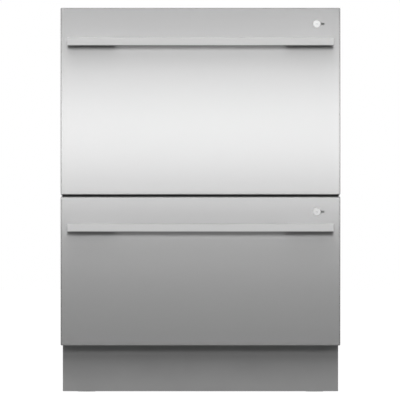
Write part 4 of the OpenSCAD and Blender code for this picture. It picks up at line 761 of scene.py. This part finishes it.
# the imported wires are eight-sided, so their boxes end at a flat
flat = wire_r * math.cos(math.radians(22.5))
layer = wire_r * 1.5
for drawer in ("upper", "lower"):
    low, high = (Vector(c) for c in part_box(f"{drawer}_basket"))
    rack_low, rack_high = (Vector(c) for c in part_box(f"{drawer}_cup_rack"))
    left, right = low.x + flat, high.x - flat
    front, back = low.y + flat, high.y - flat
    top = high.z - flat
    middle = (front + back) / 2
    floor_level = low.z + floor_up
    hinge_x = right - rack_hinge_in
    hinge_z = rack_low.z + flat
    rack_span = rack_high.y - rack_low.y - 2 * rack_wire_in
    rack_y = [rack_low.y + rack_wire_in + rack_span * k / (rack_wires - 1)
              for k in range(rack_wires)]
    bm = bmesh.new()
    for z in (floor_level, hinge_z + loop_up, top):
        wire_ring(bm, (left, front), (right, back), z)
    across = centred_steps(int((right - left - wire_margin) / wire_pitch) + 1, wire_pitch)
    along = centred_steps(int((back - front - wire_margin) / wire_pitch) + 1, wire_pitch, middle)
    for x in across:
        z = floor_level - layer
        bent_wire(bm, [(x, front + layer, top), (x, front + layer, z), (x, back - layer, z),
                       (x, back - layer, top)])
    for y in along:
        z = floor_level - 2 * layer
        bent_wire(bm, [(left + layer, y, top), (left + layer, y, z), (right - layer, y, z),
                       (right - layer, y, top)])
    for x in (across[column] for column in tine_columns):
        for y in centred_steps(tines, tine_pitch, middle):
            tip = floor_level - layer + tine_h
            bent_wire(bm, [(x, y, floor_level - layer), (x, y, tip)], tine_r)
            bmesh.ops.create_uvsphere(bm, u_segments=10, v_segments=6, radius=tine_bead_r,
                                      matrix=Matrix.Translation((x, y, tip)))
    for x in (left + foot_in, right - foot_in):
        for y in (along[0], along[-1]):
            rod(bm, (x, y, low.z), (x, y, floor_level), foot_r, bevel=foot_round)
    for hinge in (Vector((hinge_x, rack_y[k], hinge_z)) for k in clip_wires):
        for size, place in clip_blocks:
            rounded_block(bm, size, hinge + Vector(place), clip_round)
    basket = finish_piece(bm, f"{drawer}_wire_basket", nylon, f"{drawer}_drawer")
    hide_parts(f"{drawer}_basket")

    # cup rack: rods at its hinge and its edge, a shorter one between, and its cross wires
    bm = bmesh.new()
    edge_x = rack_low.x + flat
    for x, inset in ((hinge_x, 0.0), (edge_x, 0.0), ((hinge_x + edge_x) / 2, rack_rod_in)):
        bent_wire(bm, [(x, rack_low.y + inset, hinge_z), (x, rack_high.y - inset, hinge_z)])
    for y in rack_y:
        bent_wire(bm, [(edge_x, y, hinge_z + wire_r), (hinge_x - hinge_gap, y, hinge_z + wire_r)],
                  rack_wire_r)
    rack = finish_piece(bm, f"{drawer}_cup_rack_wires", nylon, f"{drawer}_cup_rack")
    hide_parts(f"{drawer}_cup_rack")

# ---- cutlery baskets ---------------------------------------------------------------------
# Grey polypropylene mouldings with open walls and six cells, one standing in each wire
# basket and lifted out by hand.
dress(grey_plastic, *both_drawers("cutlery_basket"))


# ---- drawer fronts -----------------------------------------------------------------------
# Stainless sheet, brushed along its length and folded round a pale moulded liner that is
# screwed to the tub. It is slightly bowed, which shapes the band of light on it.
def bow_group():
    """A slight bow: the surface leans up or down in proportion to its height. Edge masks the
    folds for painted shade.
    """
    tree, given, out = new_group(
        "sheet_bow",
        [("Middle", 0.56), ("Lean", 0.094), ("Bow", 0.30)],
        [("Normal", "NodeSocketVector"), ("Edge", "NodeSocketFloat")],
    )
    nodes, links = tree.nodes, tree.links
    place = nodes.new("ShaderNodeTexCoord")
    split = nodes.new("ShaderNodeSeparateXYZ")
    links.new(place.outputs["Object"], split.inputs[0])
    above = nodes.new("ShaderNodeMath")
    above.operation = "SUBTRACT"
    links.new(split.outputs["Z"], above.inputs[0])
    links.new(given.outputs["Middle"], above.inputs[1])
    lean = nodes.new("ShaderNodeMath")
    lean.operation = "MULTIPLY_ADD"
    links.new(above.outputs[0], lean.inputs[0])
    links.new(given.outputs["Bow"], lean.inputs[1])
    links.new(given.outputs["Lean"], lean.inputs[2])
    facing = nodes.new("ShaderNodeNewGeometry")
    # Edge is 1 on the rounded folds, but for the lowest, and 0 on the face and on the sides: it
    # is the mask of the painted shade on those folds
    parts = nodes.new("ShaderNodeSeparateXYZ")
    links.new(facing.outputs["Normal"], parts.inputs[0])
    forward = nodes.new("ShaderNodeMath")
    forward.operation = "MULTIPLY"
    forward.inputs[1].default_value = -1.0
    links.new(parts.outputs["Y"], forward.inputs[0])
    # only what faces forward leans
    front_only = nodes.new("ShaderNodeMath")
    front_only.operation = "MAXIMUM"
    front_only.inputs[1].default_value = 0.0
    links.new(forward.outputs[0], front_only.inputs[0])
    front_lean = nodes.new("ShaderNodeMath")
    front_lean.operation = "MULTIPLY"
    links.new(lean.outputs[0], front_lean.inputs[0])
    links.new(front_only.outputs[0], front_lean.inputs[1])
    lift = nodes.new("ShaderNodeCombineXYZ")
    links.new(front_lean.outputs[0], lift.inputs["Z"])
    off_face = nodes.new("ShaderNodeMapRange")
    off_face.inputs["From Min"].default_value = 0.995
    off_face.inputs["From Max"].default_value = 0.9
    links.new(forward.outputs[0], off_face.inputs["Value"])
    off_side = nodes.new("ShaderNodeMapRange")
    off_side.inputs["From Min"].default_value = 0.01
    off_side.inputs["From Max"].default_value = 0.12
    links.new(forward.outputs[0], off_side.inputs["Value"])
    fold = nodes.new("ShaderNodeMath")
    fold.operation = "MULTIPLY"
    links.new(off_face.outputs["Result"], fold.inputs[0])
    links.new(off_side.outputs["Result"], fold.inputs[1])
    not_under = nodes.new("ShaderNodeMapRange")
    not_under.inputs["From Min"].default_value = -0.3
    not_under.inputs["From Max"].default_value = 0.0
    links.new(parts.outputs["Z"], not_under.inputs["Value"])
    shown = nodes.new("ShaderNodeMath")
    shown.operation = "MULTIPLY"
    links.new(fold.outputs[0], shown.inputs[0])
    links.new(not_under.outputs["Result"], shown.inputs[1])
    links.new(shown.outputs[0], out.inputs["Edge"])
    # the fold is so tight that it takes its tone from the face
    tight = nodes.new("ShaderNodeMath")
    tight.operation = "MULTIPLY"
    tight.inputs[1].default_value = 0.85
    links.new(fold.outputs[0], tight.inputs[0])
    turned = nodes.new("ShaderNodeMix")
    turned.data_type = "VECTOR"
    turned.inputs["B"].default_value = (0, -1, 0)
    links.new(tight.outputs[0], turned.inputs["Factor"])
    links.new(facing.outputs["Normal"], turned.inputs["A"])
    leant = nodes.new("ShaderNodeVectorMath")
    links.new(turned.outputs["Result"], leant.inputs[0])
    links.new(lift.outputs[0], leant.inputs[1])
    unit = nodes.new("ShaderNodeVectorMath")
    unit.operation = "NORMALIZE"
    links.new(leant.outputs[0], unit.inputs[0])
    links.new(unit.outputs[0], out.inputs["Normal"])
    return tree


def add_haze(material, tone, share):
    """Mixes a share of plain scatter into a metal, as fine brushing does."""
    nodes, links = material.node_tree.nodes, material.node_tree.links
    shader = next(node for node in nodes if node.type == "BSDF_PRINCIPLED")
    satin = nodes.new("ShaderNodeBsdfDiffuse")
    satin.inputs["Color"].default_value = (*grey(tone), 1)
    haze = nodes.new("ShaderNodeMixShader")
    haze.inputs["Fac"].default_value = share
    links.new(shader.outputs[0], haze.inputs[1])
    links.new(satin.outputs[0], haze.inputs[2])
    steel_out = next(node for node in nodes if node.type == "OUTPUT_MATERIAL")
    links.new(haze.outputs[0], steel_out.inputs["Surface"])


sheet_bow = bow_group()
dress(pale_plastic, *both_drawers("front_liner"))
front_steel = surfaced("front_steel", brushed_lines, grey(0.515), grey(0.535), (0.20, 0.22), 1.0,
                       Along=2.0, Across=2400.0, Cloud=1.0)
# painted shade: the top and side folds have their colour multiplied down to this, for a dark line
# along the front's edges
fold_shade_tone = 0.12
nodes, links = front_steel.node_tree.nodes, front_steel.node_tree.links
bow = nodes.new("ShaderNodeGroup")
bow.node_tree = sheet_bow
shader = next(node for node in nodes if node.type == "BSDF_PRINCIPLED")
links.new(bow.outputs["Normal"], shader.inputs["Normal"])
shader.inputs["Anisotropic"].default_value = 0.8
# the grain runs along X, so light spreads across it; X is tilted a little for the end faces
grain = nodes.new("ShaderNodeCombineXYZ")
grain.inputs["X"].default_value = 1.0
grain.inputs["Y"].default_value = 0.02
grain.inputs["Z"].default_value = 0.05
facing = nodes.new("ShaderNodeNewGeometry")
across_grain = nodes.new("ShaderNodeVectorMath")
across_grain.operation = "CROSS_PRODUCT"
links.new(grain.outputs[0], across_grain.inputs[0])
links.new(facing.outputs["Normal"], across_grain.inputs[1])
links.new(across_grain.outputs[0], shader.inputs["Tangent"])
# painted shade: the Edge mask darkens the base colour on the rounded top and side folds
folds = nodes.new("ShaderNodeMix")
folds.data_type = "RGBA"
folds.blend_type = "MULTIPLY"
folds.inputs["B"].default_value = (*grey(fold_shade_tone), 1)
links.new(bow.outputs["Edge"], folds.inputs["Factor"])
links.new(shader.inputs["Base Color"].links[0].from_socket, folds.inputs["A"])
links.new(folds.outputs["Result"], shader.inputs["Base Color"])
add_haze(front_steel, 0.42, 0.3)
dress(front_steel, *both_drawers("front_skin"))

# ---- handles -----------------------------------------------------------------------------
# Flat extruded bars with eased edges and a rounder top front edge, satin finished, screwed
# to two wide posts each.
handle_steel = surfaced("handle_steel", brushed_lines, grey(0.48), grey(0.51), (0.38, 0.42),
                        1.0, Along=2.0, Across=2400.0)
nodes, links = handle_steel.node_tree.nodes, handle_steel.node_tree.links
lean = nodes.new("ShaderNodeGroup")
lean.node_tree = sheet_bow
lean.inputs["Lean"].default_value = 0.098
lean.inputs["Bow"].default_value = -0.15
shader = next(node for node in nodes if node.type == "BSDF_PRINCIPLED")
links.new(lean.outputs["Normal"], shader.inputs["Normal"])
add_haze(handle_steel, 0.5, 0.3)
dress(handle_steel, *both_drawers("handle_posts"))
bar_round = 0.0005
top_round = 0.002
for drawer in ("upper", "lower"):
    low, high = (Vector(c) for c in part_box(f"{drawer}_handle_bar"))
    bm = bmesh.new()
    rounded_block(bm, high - low, (low + high) / 2, bar_round, 2)
    # the long edge at the front of the top
    ridge = [edge for edge in bm.edges if edge.calc_length() > (high.x - low.x) * 0.9
             and all(vert.co.z > high.z - 0.0001 and vert.co.y < low.y + 2 * bar_round
                     for vert in edge.verts)]
    bmesh.ops.bevel(bm, geom=ridge, offset=top_round, segments=3, profile=0.5,
                    affect="EDGES", material=-1)
    bar = finish_piece(bm, f"{drawer}_bar", handle_steel, f"{drawer}_drawer",
                       flats=True)
    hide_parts(f"{drawer}_handle_bar")

# ---- start buttons -----------------------------------------------------------------------
# Round light caps sprung behind the front, each with a thin start/pause mark printed on it,
# and beside it three small printed strokes that stand for the program lights.
button_white = surfaced("button_white", moulded_mottle, grey(0.70), grey(0.74), (0.3, 0.35),
                        Specular_IOR_Level=0.25)
dress(button_white, *both_drawers("start_button"))
mark_grey = surfaced("mark_grey", moulded_mottle, grey(0.42), grey(0.46), (0.35, 0.4),
                     Specular_IOR_Level=0.25)
print_dark = surfaced("print_dark", moulded_mottle, grey(0.04), grey(0.05), (0.35, 0.4),
                      Specular_IOR_Level=0.25)
print_t = 0.00008
print_round = 0.00002
pause_size = (0.0009, print_t, 0.0042)
pause_x = (0.0008, 0.0026)
play_x = -0.0014
play_r = 0.0019
stroke_size = (0.0021, print_t, 0.0044)
stroke_x = 0.0104
stroke_pitch = 0.00245
strokes = 3
for drawer in ("upper", "lower"):
    low, high = (Vector(c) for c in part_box(f"{drawer}_start_button"))
    centre = Vector(((low.x + high.x) / 2, low.y, (low.z + high.z) / 2))
    bm = bmesh.new()
    for x in pause_x:
        rounded_block(bm, pause_size, centre + Vector((x, 0, 0)), print_round, 1)
    play = centre + Vector((play_x, 0, 0))
    made = bmesh.ops.create_cone(
        bm, cap_ends=True, segments=3, radius1=play_r, radius2=play_r, depth=print_t,
        matrix=Matrix.Translation(play) @ Matrix.Rotation(math.radians(90), 4, "X"))
    bmesh.ops.rotate(bm, verts=made["verts"], cent=play,
                     matrix=Matrix.Rotation(math.radians(90), 3, "Y"))
    finish_piece(bm, f"{drawer}_start_mark", mark_grey, f"{drawer}_start_button",
                 flats=True)
    face_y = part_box(f"{drawer}_front_skin")[0][1]
    bm = bmesh.new()
    for k in range(strokes):
        rounded_block(bm, stroke_size,
                      (centre.x + stroke_x + stroke_pitch * k, face_y, centre.z), print_round, 1)
    finish_piece(bm, f"{drawer}_status_marks", print_dark, f"{drawer}_drawer",
                 flats=True)

# ---- toe kick ----------------------------------------------------------------------------
# Plain grey steel sheet, painted satin, set back under the lower front. It goes on last,
# screwed to its two brackets.
kick_paint = surfaced("kick_paint", moulded_mottle, grey(0.28), grey(0.30), (0.45, 0.5))
dress(kick_paint, "toe_kick")
